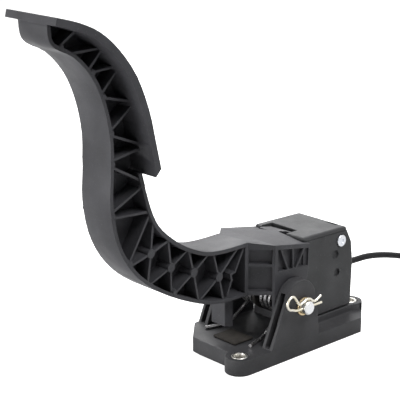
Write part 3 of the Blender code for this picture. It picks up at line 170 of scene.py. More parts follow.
# %% A wire of any route
SAME_PLACE = 1e-6  # corners nearer than this, in metres, are one
WIRE_CREASE = math.radians(50)


def new_object(name, form):
    """An object whose mesh is the bmesh, which is freed."""
    mesh = bpy.data.meshes.new(name)
    form.to_mesh(mesh)
    form.free()
    piece = bpy.data.objects.new(name, mesh)
    bpy.context.scene.collection.objects.link(piece)
    return piece


def shade_round(piece, crease):
    """Smooth shading, except across edges that turn more than the crease."""
    piece.data.shade_smooth()
    piece.data.set_sharp_from_angle(angle=crease)


def wire_mesh(name, points, radius, resolution):
    """A round wire along points in millimetres, as a closed mesh with its place in its points."""
    curve = bpy.data.curves.new(name + "_route", "CURVE")
    curve.dimensions = "3D"
    curve.bevel_depth = radius * MM
    curve.bevel_resolution = resolution
    curve.use_fill_caps = True
    spline = curve.splines.new("POLY")
    spline.points.add(len(points) - 1)
    for target, point in zip(spline.points, points):
        target.co = (*[c * MM for c in point], 1.0)
    route = bpy.data.objects.new(name + "_route", curve)
    bpy.context.scene.collection.objects.link(route)
    bpy.context.view_layer.update()
    tube = bpy.data.meshes.new_from_object(route.evaluated_get(bpy.context.evaluated_depsgraph_get()))
    form = bmesh.new()
    form.from_mesh(tube)
    bpy.data.objects.remove(route)
    bpy.data.curves.remove(curve)
    bpy.data.meshes.remove(tube)
    bmesh.ops.remove_doubles(form, verts=form.verts, dist=SAME_PLACE)
    bmesh.ops.recalc_face_normals(form, faces=form.faces)
    piece = new_object(name, form)
    shade_round(piece, WIRE_CREASE)
    return piece


# %% Cable piece
lead = wire_mesh("lead", cable_points, CABLE_RADIUS, resolution=6)
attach(lead, "base_unit")
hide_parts("cable", "cable_coil")
print("lead:", len(lead.data.polygons), "faces")

# %% [markdown]
# ## The stage
# The photograph has a pure white ground, and soft light mostly from above, behind and the left. A white
# ground could come from very strong lamps, but they would wash the black plastic out. So the floor adds its
# white for the camera alone, the world is white only for the camera and for what shines or is clear, and
# the lamps stay at a plain level.


# %% Helpers for nodes
def node_tree(name):
    """A new material and its empty node tree."""
    material = bpy.data.materials.new(name)
    material.use_nodes = True
    tree = material.node_tree
    tree.nodes.clear()
    return material, tree


def add(tree, kind, **values):
    """A node with its inputs and properties set by name."""
    node = tree.nodes.new(kind)
    for key, value in values.items():
        if key in node.inputs:
            node.inputs[key].default_value = value
        else:
            setattr(node, key, value)
    return node


def link(tree, source, output, target, entry):
    tree.links.new(source.outputs[output], target.inputs[entry])


# %% Floor
WHITE = (1.0, 1.0, 1.0, 1.0)
FLOOR_COLOUR = (0.74, 0.74, 0.74, 1.0)
CAMERA_LIFT = 0.9  # the white that the floor adds for the camera alone
FLOOR_REACH = 3.0

floor_material, tree = node_tree("studio_floor")
diffuse = add(tree, "ShaderNodeBsdfDiffuse", Color=FLOOR_COLOUR)
glow = add(tree, "ShaderNodeEmission", Color=WHITE)
path = add(tree, "ShaderNodeLightPath")
lift = add(tree, "ShaderNodeMath", operation="MULTIPLY")
lift.inputs[1].default_value = CAMERA_LIFT
both = add(tree, "ShaderNodeAddShader")
out = add(tree, "ShaderNodeOutputMaterial")
link(tree, path, "Is Camera Ray", lift, 0)
link(tree, lift, 0, glow, "Strength")
link(tree, diffuse, 0, both, 0)
link(tree, glow, 0, both, 1)
link(tree, both, 0, out, "Surface")

form = bmesh.new()
bmesh.ops.create_grid(form, x_segments=1, y_segments=1, size=FLOOR_REACH)
floor = new_object("floor", form)
floor.data.materials.append(floor_material)
print("floor of", 2 * FLOOR_REACH, "m")

# %% World
SOFT_COLOUR = (0.95, 0.96, 1.0, 1.0)
SOFT_STRENGTH = 0.03

world = bpy.data.worlds.new("studio")
bpy.context.scene.world = world
world.use_nodes = True
tree = world.node_tree
tree.nodes.clear()
path = add(tree, "ShaderNodeLightPath")
white = add(tree, "ShaderNodeBackground", Color=WHITE, Strength=1.0)
soft = add(tree, "ShaderNodeBackground", Color=SOFT_COLOUR, Strength=SOFT_STRENGTH)
seen = add(tree, "ShaderNodeMath", operation="MAXIMUM")
seen_too = add(tree, "ShaderNodeMath", operation="MAXIMUM")
mix = add(tree, "ShaderNodeMixShader")
out = add(tree, "ShaderNodeOutputWorld")
link(tree, path, "Is Camera Ray", seen, 0)
link(tree, path, "Is Glossy Ray", seen, 1)
link(tree, seen, 0, seen_too, 0)
link(tree, path, "Is Transmission Ray", seen_too, 1)
link(tree, seen_too, 0, mix, 0)
link(tree, soft, 0, mix, 1)
link(tree, white, 0, mix, 2)
link(tree, mix, 0, out, "Surface")
print("soft world at", SOFT_STRENGTH)

# %% Lamps
LAMPS_AIM_AT = (-0.06, 0.0, 0.12)


def lamp(name, place, size, power):
    """A square lamp that faces the middle of the pedal."""
    light = bpy.data.lights.new(name, "AREA")
    light.shape = "SQUARE"
    light.size = size
    light.energy = power
    stand = bpy.data.objects.new(name, light)
    stand.location = place
    stand.rotation_euler = (Vector(LAMPS_AIM_AT) - Vector(place)).to_track_quat("-Z", "Y").to_euler()
    bpy.context.scene.collection.objects.link(stand)


lamp("top_lamp", place=(0.45, 0.85, 1.15), size=1.1, power=27.0)
lamp("left_lamp", place=(-1.4, 0.35, 0.16), size=0.8, power=21.0)
lamp("front_lamp", place=(0.15, -0.75, 1.5), size=0.7, power=20.0)
print("three lamps")

# %% [markdown]
# ## Finishes
# A finish is more than one colour. Lighter patches, grain and scratches could be painted on a picture, but
# noise in the object's own coordinates needs no unwrapping, stays put on the piece from every side, and
# keeps its real size. All the finishes are put together from the same few helpers.

# %% Helpers for finishes
COLOUR_A, COLOUR_B, COLOUR_OUT = 6, 7, 2  # the colour sockets of a Mix node


def surface(name, colour, roughness, metallic=0.0, specular=0.5):
    """A plain material, with the shader and the coordinates that its finish is linked to."""
    material, tree = node_tree(name)
    shader = add(tree, "ShaderNodeBsdfPrincipled")
    shader.inputs["Base Color"].default_value = (*colour, 1.0)
    shader.inputs["Roughness"].default_value = roughness
    shader.inputs["Metallic"].default_value = metallic
    shader.inputs["Specular IOR Level"].default_value = specular
    out = add(tree, "ShaderNodeOutputMaterial")
    link(tree, shader, "BSDF", out, "Surface")
    coords = add(tree, "ShaderNodeTexCoord")
    return material, tree, shader, coords


def noise(tree, coords, scale, detail, stretch=None):
    """Noise on the object's own coordinates, with its scale in cycles a metre."""
    texture = add(tree, "ShaderNodeTexNoise", Scale=scale, Detail=detail)
    if stretch:
        mapping = add(tree, "ShaderNodeMapping", Scale=stretch)
        link(tree, coords, "Object", mapping, "Vector")
        link(tree, mapping, "Vector", texture, "Vector")
    else:
        link(tree, coords, "Object", texture, "Vector")
    return texture


def spread(tree, texture, low, high, start=0.3, end=0.7):
    """A value that goes from low to high while the noise goes from start to end."""
    span = add(tree, "ShaderNodeMapRange")
    span.inputs["From Min"].default_value = start
    span.inputs["From Max"].default_value = end
    span.inputs["To Min"].default_value = low
    span.inputs["To Max"].default_value = high
    link(tree, texture, 0, span, "Value")
    return span


def between(tree, factor, first, second):
    """A colour that goes from the first to the second as the factor goes from 0 to 1."""
    colours = add(tree, "ShaderNodeMix", data_type="RGBA")
    colours.inputs[COLOUR_A].default_value = (*first, 1.0)
    colours.inputs[COLOUR_B].default_value = (*second, 1.0)
    link(tree, factor, 0, colours, 0)
    return colours


def bumped(tree, shader, heights, strength, distance):
    """Small hills and dents from a noise, distance metres high."""
    bump = add(tree, "ShaderNodeBump", Strength=strength, Distance=distance)
    link(tree, heights, 0, bump, "Height")
    link(tree, bump, "Normal", shader, "Normal")


def scaled(colour, factor):
    return tuple(min(1.0, c * factor) for c in colour)


# %% [markdown]
# ### Moulded plastic
# Moulded plastic is never one flat grey: it has a fine spark-eroded grain, cloudy patches where the glass
# fibre lies near the surface, and pale specks of dust and scuffs. One noise could drive them all, but each
# has its own size on the real piece, so each has a noise of its own.

# %% Moulded plastic
CLOUD_SCALE = 38.0
PATCH_SCALE = 65.0
SMOOTHER, ROUGHER = 0.07, 0.08  # how far the patches depart from the mean roughness
SPECK_SCALE = 900.0
SPECK_START, SPECK_END = 0.66, 0.78  # only the peaks of the noise are specks
SPECK_STRENGTH = 0.35
SPECK_LIGHTER = 2.6
GRAIN_HEIGHT = 0.0002
MOULDED_SPECULAR = 0.25


def moulded(name, colour, roughness, grain, depth, cloud=0.24):
    """Glass-filled plastic: the grain's scale and depth, and how strong the clouds are."""
    material, tree, shader, coords = surface(name, colour, roughness, specular=MOULDED_SPECULAR)
    clouds = spread(tree, noise(tree, coords, CLOUD_SCALE, detail=4.0), 0.0, 1.0)
    clouded = between(tree, clouds, scaled(colour, 1 - cloud), scaled(colour, 1 + cloud))
    peaks = noise(tree, coords, SPECK_SCALE, detail=1.0)
    specks = spread(tree, peaks, 0.0, SPECK_STRENGTH, SPECK_START, SPECK_END)
    dusted = between(tree, specks, colour, scaled(colour, SPECK_LIGHTER))
    link(tree, clouded, COLOUR_OUT, dusted, COLOUR_A)
    link(tree, dusted, COLOUR_OUT, shader, "Base Color")
    worn = noise(tree, coords, PATCH_SCALE, detail=3.0)
    patches = spread(tree, worn, roughness - SMOOTHER, roughness + ROUGHER)
    link(tree, patches, 0, shader, "Roughness")
    bumped(tree, shader, noise(tree, coords, grain, detail=3.0), depth, GRAIN_HEIGHT)
    return material


# %% [markdown]
# ### Metal
# The steel parts are zinc plated, drawn or lightly oiled. A mirror would be the simplest metal, but real
# small parts drift a little in colour and carry fine scratches, which run one way where a part was drawn or
# turned. One noise, stretched for those parts, gives both the scratches and the dull streaks beside them.

# %% Metal
DRIFT_SCALE = 120.0
DULLER = 0.82
POLISHED, WORN = 0.08, 0.14  # how far the scratches depart from the mean roughness
SCRATCH_STRENGTH = 0.15
SCRATCH_HEIGHT = 0.0001


def metal(name, colour, roughness, tint=None, streak=(1.0, 1.0, 1.0), scale=600.0):
    """Plated or bright metal: its second colour, and the scratches' stretch and scale."""
    material, tree, shader, coords = surface(name, colour, roughness, metallic=1.0)
    drift = spread(tree, noise(tree, coords, DRIFT_SCALE, detail=2.0), 0.0, 1.0)
    drifting = between(tree, drift, colour, tint or scaled(colour, DULLER))
    link(tree, drifting, COLOUR_OUT, shader, "Base Color")
    scratches = noise(tree, coords, scale, detail=3.0, stretch=streak)
    wear = spread(tree, scratches, roughness - POLISHED, roughness + WORN)
    link(tree, wear, 0, shader, "Roughness")
    bumped(tree, shader, scratches, SCRATCH_STRENGTH, SCRATCH_HEIGHT)
    return material


# %% [markdown]
# ### Rubber
# Rubber and the cable's soft jacket are duller than the moulded plastic, and wax that comes to the surface
# makes them patchy. The patches could change the gloss, but on so dull a surface only their colour shows.

# %% Rubber
BLOOM_SCALE = 140.0
BLOOM_DARKER, BLOOM_LIGHTER = 0.8, 1.35
RUBBER_DEPTH = 0.35
RUBBER_SPECULAR = 0.15


def soft_rubber(name, colour, roughness, grain):
    """Black rubber, with the scale of its grain."""
    material, tree, shader, coords = surface(name, colour, roughness, specular=RUBBER_SPECULAR)
    bloom = spread(tree, noise(tree, coords, BLOOM_SCALE, detail=4.0), 0.0, 1.0)
    patchy = between(tree, bloom, scaled(colour, BLOOM_DARKER), scaled(colour, BLOOM_LIGHTER))
    link(tree, patchy, COLOUR_OUT, shader, "Base Color")
    bumped(tree, shader, noise(tree, coords, grain, detail=3.0), RUBBER_DEPTH, GRAIN_HEIGHT)
    return material


# %% The finishes of this pedal
FINISHES = {
    "arm_plastic": moulded("arm_plastic_grain", (0.046, 0.046, 0.051), 0.46, 2600.0, 0.22),
    "base_plastic": moulded("base_plastic_grain", (0.048, 0.048, 0.051), 0.52, 1900.0, 0.30),
    "housing_plastic": moulded("housing_plastic_grain", (0.046, 0.047, 0.049), 0.50, 2100.0, 0.28),
    "sleeve_steel": metal("sleeve_steel_drawn", (0.80, 0.79, 0.76), 0.30, (0.62, 0.60, 0.55), (1, 1, 8)),
    "pin_steel": metal("pin_steel_zinc", (0.80, 0.80, 0.78), 0.26, (0.74, 0.76, 0.80), (8, 1, 8), 500.0),
    "yellow_zinc": metal("washer_yellow_zinc", (0.66, 0.50, 0.24), 0.30, (0.60, 0.52, 0.42), scale=900.0),
    "clip_wire": metal("clip_wire_zinc", (0.82, 0.76, 0.58), 0.24, (0.84, 0.82, 0.76), scale=900.0),
    "spring_steel": metal("spring_steel_oiled", (0.50, 0.50, 0.51), 0.28, (0.34, 0.33, 0.33), scale=1200.0),
    "bearing_plastic": moulded("bearing_acetal", (0.030, 0.029, 0.027), 0.42, 1500.0, 0.12, cloud=0.10),
    "rubber": soft_rubber("rubber_black", (0.030, 0.027, 0.024), 0.78, 2400.0),
    "screw_steel": metal("screw_steel_zinc", (0.76, 0.77, 0.80), 0.25, (0.68, 0.71, 0.76), scale=800.0),
    "circuit_board": moulded("circuit_board_lacquer", (0.015, 0.12, 0.05), 0.30, 600.0, 0.2, cloud=0.3),
    "magnet": metal("magnet_nickel", (0.62, 0.61, 0.58), 0.28),
    "chip": moulded("chip_epoxy", (0.015, 0.015, 0.016), 0.42, 3000.0, 0.2),
    "cable_jacket": soft_rubber("cable_jacket_black", (0.011, 0.011, 0.012), 0.50, 1600.0),
}
print(len(FINISHES), "finishes")

# %% [markdown]
# ## The return springs
# Two torsion springs sit side by side on the pin. Each has a lower leg on the floor of the base, three
# close turns, and an upper leg that pushes the arm up. A Screw modifier could wind the coil, but the legs
# have to run out of it without a kink, so the whole wire is one list of points. Corners are eased, because
# wire never has a sharp one. The outer end stays with the base and the inner end moves with the arm.

# %% Ease the corners of a route
EASE_STEPS = 5
CORNER = math.radians(12)  # a bend of less is left as it is
NEARLY_HALF = 0.48  # of the way to the next point, so that two curves never meet


def eased(points, reach):
    """The same route, with a short curve in place of each real corner."""
    points = [Vector(p) for p in points]
    route = [points[0]]
    for before, here, after in zip(points, points[1:], points[2:]):
        back, ahead = before - here, after - here
        if back.angle(-ahead) < CORNER:
            route.append(here)
            continue
        back *= min(reach / back.length, NEARLY_HALF)
        ahead *= min(reach / ahead.length, NEARLY_HALF)
        for i in range(EASE_STEPS + 1):
            t = i / EASE_STEPS
            route.append(here + back * (1 - t) ** 2 + ahead * t**2)
    return [tuple(p) for p in [*route, points[-1]]]


# %% Springs
FLANGE_TOP = 12.0  # the floor of the base
PIVOT_Z = 38.6
WIRE_RADIUS = 1.3
COIL_RADIUS = 9.7
COIL_INNER_Y = 2.9
COIL_OUTER_Y = 17.4
CURL_STEPS = 40
SPRING_TURNS = 3
SPRING_BEND = 5.0
LEG_TIP = (-38.0, 23.6)  # x and y on the floor of the base
LEG_KNEE = (-20.0, 17.9)
UPPER_LEG = (-38.5, 46.2)  # x and z under the arm


def spring_points(side):
    """The wire from its tip on the floor, under the pin, round the coil and forward under the arm."""
    on_floor = FLANGE_TOP + WIRE_RADIUS + TOUCH
    knee = Vector((LEG_KNEE[0], on_floor - PIVOT_Z))
    start = math.atan2(knee.y, knee.x) + math.acos(COIL_RADIUS / knee.length)
    upper = Vector((UPPER_LEG[0], UPPER_LEG[1] - PIVOT_Z))
    end = math.atan2(upper.y, upper.x) - math.acos(COIL_RADIUS / upper.length)
    while end < start + 2 * math.pi * SPRING_TURNS:
        end += 2 * math.pi
    steps = round((end - start) / (2 * math.pi) * CURL_STEPS)
    points = [(x, side * y, on_floor) for x, y in (LEG_TIP, LEG_KNEE)]
    for i in range(steps + 1):
        share = i / steps
        angle = start + (end - start) * share
        y = COIL_OUTER_Y + (COIL_INNER_Y - COIL_OUTER_Y) * share
        points.append((COIL_RADIUS * math.cos(angle), side * y, PIVOT_Z + COIL_RADIUS * math.sin(angle)))
    return eased([*points, (UPPER_LEG[0], side * COIL_INNER_Y, UPPER_LEG[1])], SPRING_BEND)


for name, side in (("near", -1), ("far", 1)):
    spring = wire_mesh("spring_" + name, spring_points(side), WIRE_RADIUS, resolution=4)
    spring.data.materials.append(FINISHES["spring_steel"])
    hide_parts("return_spring_" + name)
    along = [(0.0, side * y * MM, PIVOT_Z * MM) for y in (COIL_OUTER_Y, COIL_INNER_Y)]
    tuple(along[0])
    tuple(along[1])
    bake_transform(spring)
    print(spring.name, len(spring.data.polygons), "faces")

# %% [markdown]
# ## The spring clip
# A hairpin of 2 mm wire holds the pin. One leg passes through the pin, and the other snaps over it. The
# packed clip could be smoothed, but its bends have few sides and would stay cornered. So the wire is drawn
# again as arcs and short straights, and its corners are eased as the springs' are.

# %% Clip
CLIP_WIRE = 1.0
CLIP_Y = -43.2
CLIP_BEND = 2.0
CLIP_LOOP = (-15.8, 45.6)
CLIP_LOOP_RADIUS = 4.9
OVER_PIN_RADIUS = 6.5
LEG_Z = PIVOT_Z + 0.3


def bow(centre, radius, start, end, steps):
    """Points round an arc in the XZ plane, in degrees."""
    turns = [math.radians(start + (end - start) * i / steps) for i in range(steps + 1)]
    return [(centre[0] + radius * math.cos(t), centre[1] + radius * math.sin(t)) for t in turns]


clip_line = [
    (15.0, LEG_Z),
    (-9.0, LEG_Z),
    (CLIP_LOOP[0] + 3.5, LEG_Z + 0.3),
    *bow(CLIP_LOOP, CLIP_LOOP_RADIUS, start=270, end=70, steps=24),
    (CLIP_LOOP[0] + 4.4, CLIP_LOOP[1] + 1.2),
    (-8.2, LEG_Z + 3.3),
    *bow((0.0, PIVOT_Z), OVER_PIN_RADIUS, start=125, end=40, steps=12),
    (7.2, LEG_Z + 2.7),
    (9.6, LEG_Z + 3.2),
    (14.0, LEG_Z + 5.6),
]
clip_points = eased([(x, CLIP_Y, z) for x, z in clip_line], CLIP_BEND)
clip = wire_mesh("clip", clip_points, CLIP_WIRE, resolution=5)
clip.data.materials.append(FINISHES["clip_wire"])
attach(clip, "base_unit")
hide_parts("retaining_clip")
print("clip:", len(clip.data.polygons), "faces")

# %% [markdown]
# ## The strain relief
# Where the cable leaves the housing, a rubber sleeve grips it and tapers, so that a pull bends the cable in
# a wide curve. It could be a plain cone, but real ones are slotted, so that they bend evenly: rings along
# the taper stand for these. The half profile is spun once round the cable's line.

# %% Profile of the strain relief
WALL_BACK = 70.8  # where the collar meets the rear wall of the housing
RELIEF_START = 64.4
RELIEF_END = 91.0
RELIEF_BORE = 2.8
NECK = 5.5
COLLAR = 7.0
COLLAR_WIDTH = 1.6
BREAK = 0.3  # the small slope on the collar's edges
TAPER_START, TAPER_END = 5.1, 3.8
RINGS = 6
GROOVE = 0.7

relief_profile = [
    (RELIEF_START, RELIEF_BORE),
    (RELIEF_START, 5.1),
    (66.0, NECK),
    (WALL_BACK, NECK),
    (WALL_BACK, COLLAR - BREAK),
    (WALL_BACK + BREAK, COLLAR),
    (WALL_BACK + COLLAR_WIDTH - BREAK, COLLAR),
    (WALL_BACK + COLLAR_WIDTH, COLLAR - BREAK),
    (WALL_BACK + COLLAR_WIDTH + BREAK, 5.2),
]
step = (RELIEF_END - WALL_BACK - 4.0) / RINGS
for ring in range(RINGS):
    x = WALL_BACK + 3.0 + ring * step
    radius = TAPER_START + (TAPER_END - TAPER_START) * ring / RINGS
    relief_profile += [(x, radius), (x + 0.5, radius - GROOVE)]
    relief_profile += [(x + 1.1, radius - GROOVE), (x + 1.6, radius - 0.1)]
relief_profile += [(RELIEF_END - 0.4, 3.6), (RELIEF_END, 3.2), (RELIEF_END, RELIEF_BORE)]
print("profile of", len(relief_profile), "points")

# %% Strain relief
SPIN_STEPS = 48
SPUN_CREASE = math.radians(35)


def spun(name, profile, centre, axis):
    """A closed ring: a profile of (along, radius) pairs spun round an axis through centre."""
    along = Vector(axis)
    outward = along.orthogonal().normalized()
    form = bmesh.new()
    middle = Vector(centre)
    corners = [form.verts.new((middle + along * a + outward * r) * MM) for a, r in profile]
    edges = [form.edges.new(pair) for pair in zip(corners, corners[1:] + corners[:1])]
    bmesh.ops.spin(
        form,
        geom=corners + edges,
        cent=middle * MM,
        axis=along,
        angle=2 * math.pi,
        steps=SPIN_STEPS,
        use_merge=True,
    )
    bmesh.ops.remove_doubles(form, verts=form.verts, dist=SAME_PLACE)
    bmesh.ops.recalc_face_normals(form, faces=form.faces)
    piece = new_object(name, form)
    shade_round(piece, SPUN_CREASE)
    return piece


relief = spun("strain_relief", relief_profile, centre=(0.0, 0.0, CABLE_ROUTE[0][2]), axis=(1.0, 0.0, 0.0))
relief.data.materials.append(FINISHES["rubber"])
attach(relief, "base_unit")
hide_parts("cable_gland")
print("strain relief:", len(relief.data.polygons), "faces")

# %% [markdown]
# ## Rounded solids
# No moulded or machined edge is truly sharp: each has a radius of a few tenths of a millimetre that catches
# the light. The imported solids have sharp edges, so each is copied, its triangles are merged back into flat
# faces, and its edges are bevelled. A Bevel modifier with an angle limit alone would tear the thin ribs, and
# fold a face over where another edge runs close by. So an edge is marked only where it has room, both at its
# ends and beside it.

# %% Room round an edge
NEARLY_STRAIGHT = math.radians(25)
FAR_AWAY = 1.0


def room_at(edge, vert):
    """The shortest edge that leaves a corner sideways, in metres."""
    along = edge.other_vert(vert).co - vert.co
    lengths = [FAR_AWAY]
    for other in vert.link_edges:
        if other is edge or other.calc_length() == 0.0:
            continue
        away = other.other_vert(vert).co - vert.co
        if away.angle(-along, 0.0) > NEARLY_STRAIGHT:
            lengths.append(other.calc_length())
    return min(lengths)


def gap_to(edge, place):
    """The distance from a point to an edge."""
    start = edge.verts[0].co
    along = edge.verts[1].co - start
    share = max(0.0, min(1.0, (place - start).dot(along) / along.length_squared))
    return (place - start - along * share).length


def room_beside(edge):
    """The distance from an edge to the nearest edge of its own faces that doesn't touch it."""
    gaps = [FAR_AWAY]
    for face in edge.link_faces:
        for other in face.edges:
            if not set(other.verts) & set(edge.verts):
                gaps += [gap_to(other, vert.co) for vert in edge.verts]
                gaps += [gap_to(edge, vert.co) for vert in other.verts]
    return min(gaps)


# %% [markdown]
# ### The arm's smooth skins
# The arm is an I-beam with round bosses across it where its ribs meet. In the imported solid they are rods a
# little thicker than the beam's edge, and show as low ridges on the front and back skins, which are smooth
# on the real moulding. A Boolean could cut them away, but it would leave slivers along the curved skins. So
# for each corner at a rod's end, a ray runs just past that end from the corner's place to the rod's middle
# line. Where it meets the skin, the corner pokes out: its faces go, and the holes they leave are closed.

# %% Take the bosses off the skins
BOSS_END = 14.25  # half the length of a packed boss
BOSS_REACH = 2.5  # a little more than its radius
LEVEL = 0.02  # a corner this near the end belongs to it
LOOK_FROM = 0.3  # past the end
ON_SKIN = 0.01  # a corner this near the skin doesn't poke out
OPEN_AIR = 60.0  # nothing else of the arm is this near on the outside
PIN_BOSSES = (
    (-190.0, 244.8),
    (-166.8, 226.9),
    (-158.8, 210.7),
    (-153.3, 186.5),
    (-152.9, 166.5),
    (-128.6, 148.3),
    (-153.5, 132.5),
    (-140.0, 97.6),
    (-101.7, 67.8),
)


def pokes_out(vert, solid):
    """Whether a corner belongs to the end of a boss and lies outside the arm's skin."""
    x, y, z = vert.co
    if abs(abs(y) - BOSS_END * MM) > LEVEL * MM:
        return False
    ways = [Vector((boss_x * MM - x, 0.0, boss_z * MM - z)) for boss_x, boss_z in PIN_BOSSES]
    inward = min(ways, key=lambda way: way.length)
    if inward.length > BOSS_REACH * MM:
        return False
    eye = Vector((x, math.copysign((BOSS_END + LOOK_FROM) * MM, y), z))
    place, normal, _, distance = solid.ray_cast(eye, inward, inward.length)
    if place is None or distance <= ON_SKIN * MM or normal.dot(inward) >= 0:
        return False
    return solid.ray_cast(eye, -inward, OPEN_AIR * MM)[0] is None


def close_holes(form):
    """Gives each open loop of edges a face."""
    bmesh.ops.holes_fill(form, edges=[edge for edge in form.edges if edge.is_boundary], sides=0)
    open_edges = [edge for edge in form.edges if edge.is_boundary]
    while open_edges:
        loop = list(open_edges.pop().verts)
        while following := [edge for edge in open_edges if loop[-1] in edge.verts]:
            open_edges.remove(following[0])
            loop.append(following[0].other_vert(loop[-1]))
        form.faces.new(loop[:-1])


def flush(form):
    """Takes off what the arm's bosses push out of its skins, and closes the skins again."""
    solid = BVHTree.FromBMesh(form)
    poking = [vert for vert in form.verts if pokes_out(vert, solid)]
    faces = {face for vert in poking for face in vert.link_faces}
    bmesh.ops.delete(form, geom=list(faces), context="FACES")
    close_holes(form)
    bmesh.ops.recalc_face_normals(form, faces=form.faces)
    print(len(poking), "corners of bosses taken off")


# %% [markdown]
# ### Flat and curved faces
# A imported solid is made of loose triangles. They could be shaded smooth all over, but flat walls would then
# look dented near their edges. So triangles in one plane are joined first, and after that only the facets of
# curved walls are shaded smooth. A facet bends gently into its neighbour, and is small on every solid but the
# arm, whose long curves have long facets.

# %% Join the triangles and shade the curves
FLAT = math.radians(0.4)
SHARP = math.radians(32)
SMALL_FACET = 40.0 * MM**2
LONG_FACET = 4000.0 * MM**2


def join_flat(form):
    """Joins the faces that lie in one plane."""
    bmesh.ops.dissolve_limit(form, angle_limit=FLAT, verts=form.verts, edges=form.edges)


def is_curved(face, largest):
    """Whether a face is a facet of a curved wall: it bends gently into a neighbour and isn't too large."""
    return face.calc_area() < largest and any(FLAT < e.calc_face_angle(0.0) < SHARP for e in face.edges)


def merged(node):
    """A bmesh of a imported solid, with its loose triangles joined into flat faces."""
    form = bmesh.new()
    form.from_mesh(frame["nodes"][node].data)
    bmesh.ops.remove_doubles(form, verts=form.verts, dist=2 * SAME_PLACE)
    join_flat(form)
    largest = SMALL_FACET
    if node == "pedal_arm":
        flush(form)
        join_flat(form)
        largest = LONG_FACET
    for face in form.faces:
        face.smooth = is_curved(face, largest)
    form.edges.ensure_lookup_table()
    return form


# %% [markdown]
# ### Bevel and measure
# Room alone doesn't promise a clean bevel where many ribs meet. Each bad corner could be found by eye, but a
# measure finds them all: the rounded piece is compared with its solid, and the marked edges round any place
# that strays too far, or where a face folded over, are left sharp in the next try.

# %% Look for places that stray
FOLDED = 0.02 * MM**2


def strays(mesh, solid, allowed):
    """The points of a mesh that lie too far from the solid's surface, and the corners of folded faces."""
    mesh.calc_loop_triangles()
    places = [vert.co.copy() for vert in mesh.vertices]
    folded = []
    for triangle in mesh.loop_triangles:
        a, b, c = (mesh.vertices[i].co.copy() for i in triangle.vertices)
        places += [(a + b + c) / 3, (a + b) / 2, (b + c) / 2, (c + a) / 2]
        if (b - a).cross(c - a).dot(mesh.polygons[triangle.polygon_index].normal) < -FOLDED:
            folded += [a, b, c]
    return folded + [place for place in places if solid.find_nearest(place)[3] > allowed]


# %% Bevel the marked edges
BEVEL_SEGMENTS = 2


def bevelled(form, marked, name, width):
    """An object of the form whose marked edges a Bevel modifier rounds."""
    copy = form.copy()
    copy.edges.ensure_lookup_table()
    weights = copy.edges.layers.float.new("bevel_weight_edge")
    for i in marked:
        copy.edges[i][weights] = 1.0
    piece = new_object(name, copy)
    bevel = piece.modifiers.new("edges", "BEVEL")
    bevel.limit_method = "WEIGHT"
    bevel.width = width
    bevel.segments = BEVEL_SEGMENTS
    bevel.profile = 0.5
    bevel.use_clamp_overlap = False
    return piece


# %% Round a solid
TRIES = 12
ROOM_NEEDED = 2.2  # in widths of the rounding, as the next two are
MAY_STRAY = 0.7
FIRST_REACH = 2


def rounded(node, width):
    """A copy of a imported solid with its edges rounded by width, in millimetres, wherever that holds."""
    form = merged(node)
    solid = BVHTree.FromBMesh(form)
    width *= MM
    sharp = [edge for edge in form.edges if edge.calc_face_angle(0.0) > SHARP]
    roomy = [e for e in sharp if min(room_at(e, v) for v in e.verts) > ROOM_NEEDED * width]
    marked = {e.index for e in roomy if room_beside(e) > ROOM_NEEDED * width}
    for attempt in range(TRIES):
        piece = bevelled(form, marked, node + "_finished", width)
        bpy.context.view_layer.update()
        result = piece.evaluated_get(bpy.context.evaluated_depsgraph_get())
        wrong = strays(result.to_mesh(), solid, MAY_STRAY * width)
        result.to_mesh_clear()
        if not wrong:
            break
        reach = (FIRST_REACH + attempt) * width
        near = {i for i in marked if any(gap_to(form.edges[i], place) < reach for place in wrong)}
        marked -= near or {min(marked, key=lambda i: gap_to(form.edges[i], wrong[0]))}
        old = piece.data
        bpy.data.objects.remove(piece)
        bpy.data.meshes.remove(old)
    else:
        marked = set()
        piece = bevelled(form, marked, node + "_finished", width)
    print(f"{node}: {len(marked)} of {len(sharp)} edges rounded, {attempt + 1} tries")
    form.free()
    return piece


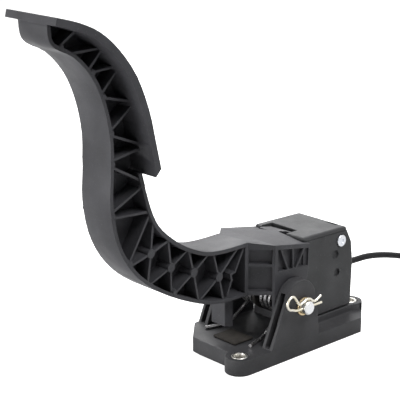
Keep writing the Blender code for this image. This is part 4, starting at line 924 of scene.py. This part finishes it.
# %% Round every rigid solid
SLEEVES = ("sleeve_bush_front", "sleeve_bush_rear_near", "sleeve_bush_rear_far")
SCREWS = ("cover_screw_near", "cover_screw_far", *(f"housing_screw_{i}" for i in range(1, 5)))
ROUNDINGS = {
    "base": 0.7,
    "pedal_arm": 0.35,
    "sensor_housing": 0.6,
    "housing_cover": 0.5,
    "floor_pad": 0.4,
    "idle_bumper": 0.3,
    "spring_spool": 0.3,
    "arm_bush_near": 0.25,
    "arm_bush_far": 0.25,
    "pivot_pin": 0.2,
    "pin_washer": 0.2,
    **dict.fromkeys(SLEEVES, 0.35),
    **dict.fromkeys(SCREWS, 0.15),
    "sensor_rotor": 0.3,
    "sensor_magnet": 0.15,
    "sensor_shaft": 0.15,
    "sensor_board": 0.1,
    "sensor_chip": 0.1,
    "connector": 0.4,
}
BODIES = frame["record"]["behaviour"]["bodies"]
BODY_OF_NODE = {node: body for body, nodes in BODIES.items() for node in nodes}

for node, width in ROUNDINGS.items():
    slot_name = frame["nodes"][node].data.materials[0].name.split(".")[0]
    piece = rounded(node, width)
    piece.data.materials.clear()
    piece.data.materials.append(FINISHES[slot_name])
    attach(piece, BODY_OF_NODE[node])
    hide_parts(node)

# %% [markdown]
# ## Pin bosses on the arm
# A deep ribbed moulding sticks in its tool, so pins push it out, and each pin needs a small round boss to
# push on. They stand a little proud of the arm's rim, where the ribs meet it. They could be joined to the
# arm by a Boolean, but small discs that sink into the rim look the same and leave its clean edges alone.

# %% Pin bosses
PIN_BOSS_RADIUS = 1.7
PIN_BOSS_HEIGHT = 1.2
PIN_BOSS_SIDES = 32
PIN_BOSS_ROUNDING = 0.15
ARM_RIM_Y = 14.85
PROUD = 0.25

form = bmesh.new()
for x, z in PIN_BOSSES:
    for side in (-1, 1):
        y = side * (ARM_RIM_Y + PROUD - PIN_BOSS_HEIGHT / 2)
        place = Matrix.Translation(Vector((x, y, z)) * MM) @ Matrix.Rotation(math.radians(90), 4, "X")
        bmesh.ops.create_cone(
            form,
            cap_ends=True,
            segments=PIN_BOSS_SIDES,
            radius1=PIN_BOSS_RADIUS * MM,
            radius2=PIN_BOSS_RADIUS * MM,
            depth=PIN_BOSS_HEIGHT * MM,
            matrix=place,
        )
bosses = new_object("pin_bosses", form)
bosses.data.materials.append(FINISHES["arm_plastic"])
bevel = bosses.modifiers.new("edges", "BEVEL")
bevel.width = PIN_BOSS_ROUNDING * MM
bevel.segments = BEVEL_SEGMENTS
bevel.limit_method = "ANGLE"
bevel.angle_limit = math.radians(60)
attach(bosses, "pedal")
print("pin bosses:", 2 * len(PIN_BOSSES))

# %% [markdown]
# ## The cable's jacket
# The lead is loose from the housing to its plug, and here it gets its soft black jacket.

lead.data.materials.append(FINISHES["cable_jacket"])
[[c * MM for c in point] for point in cable_points]
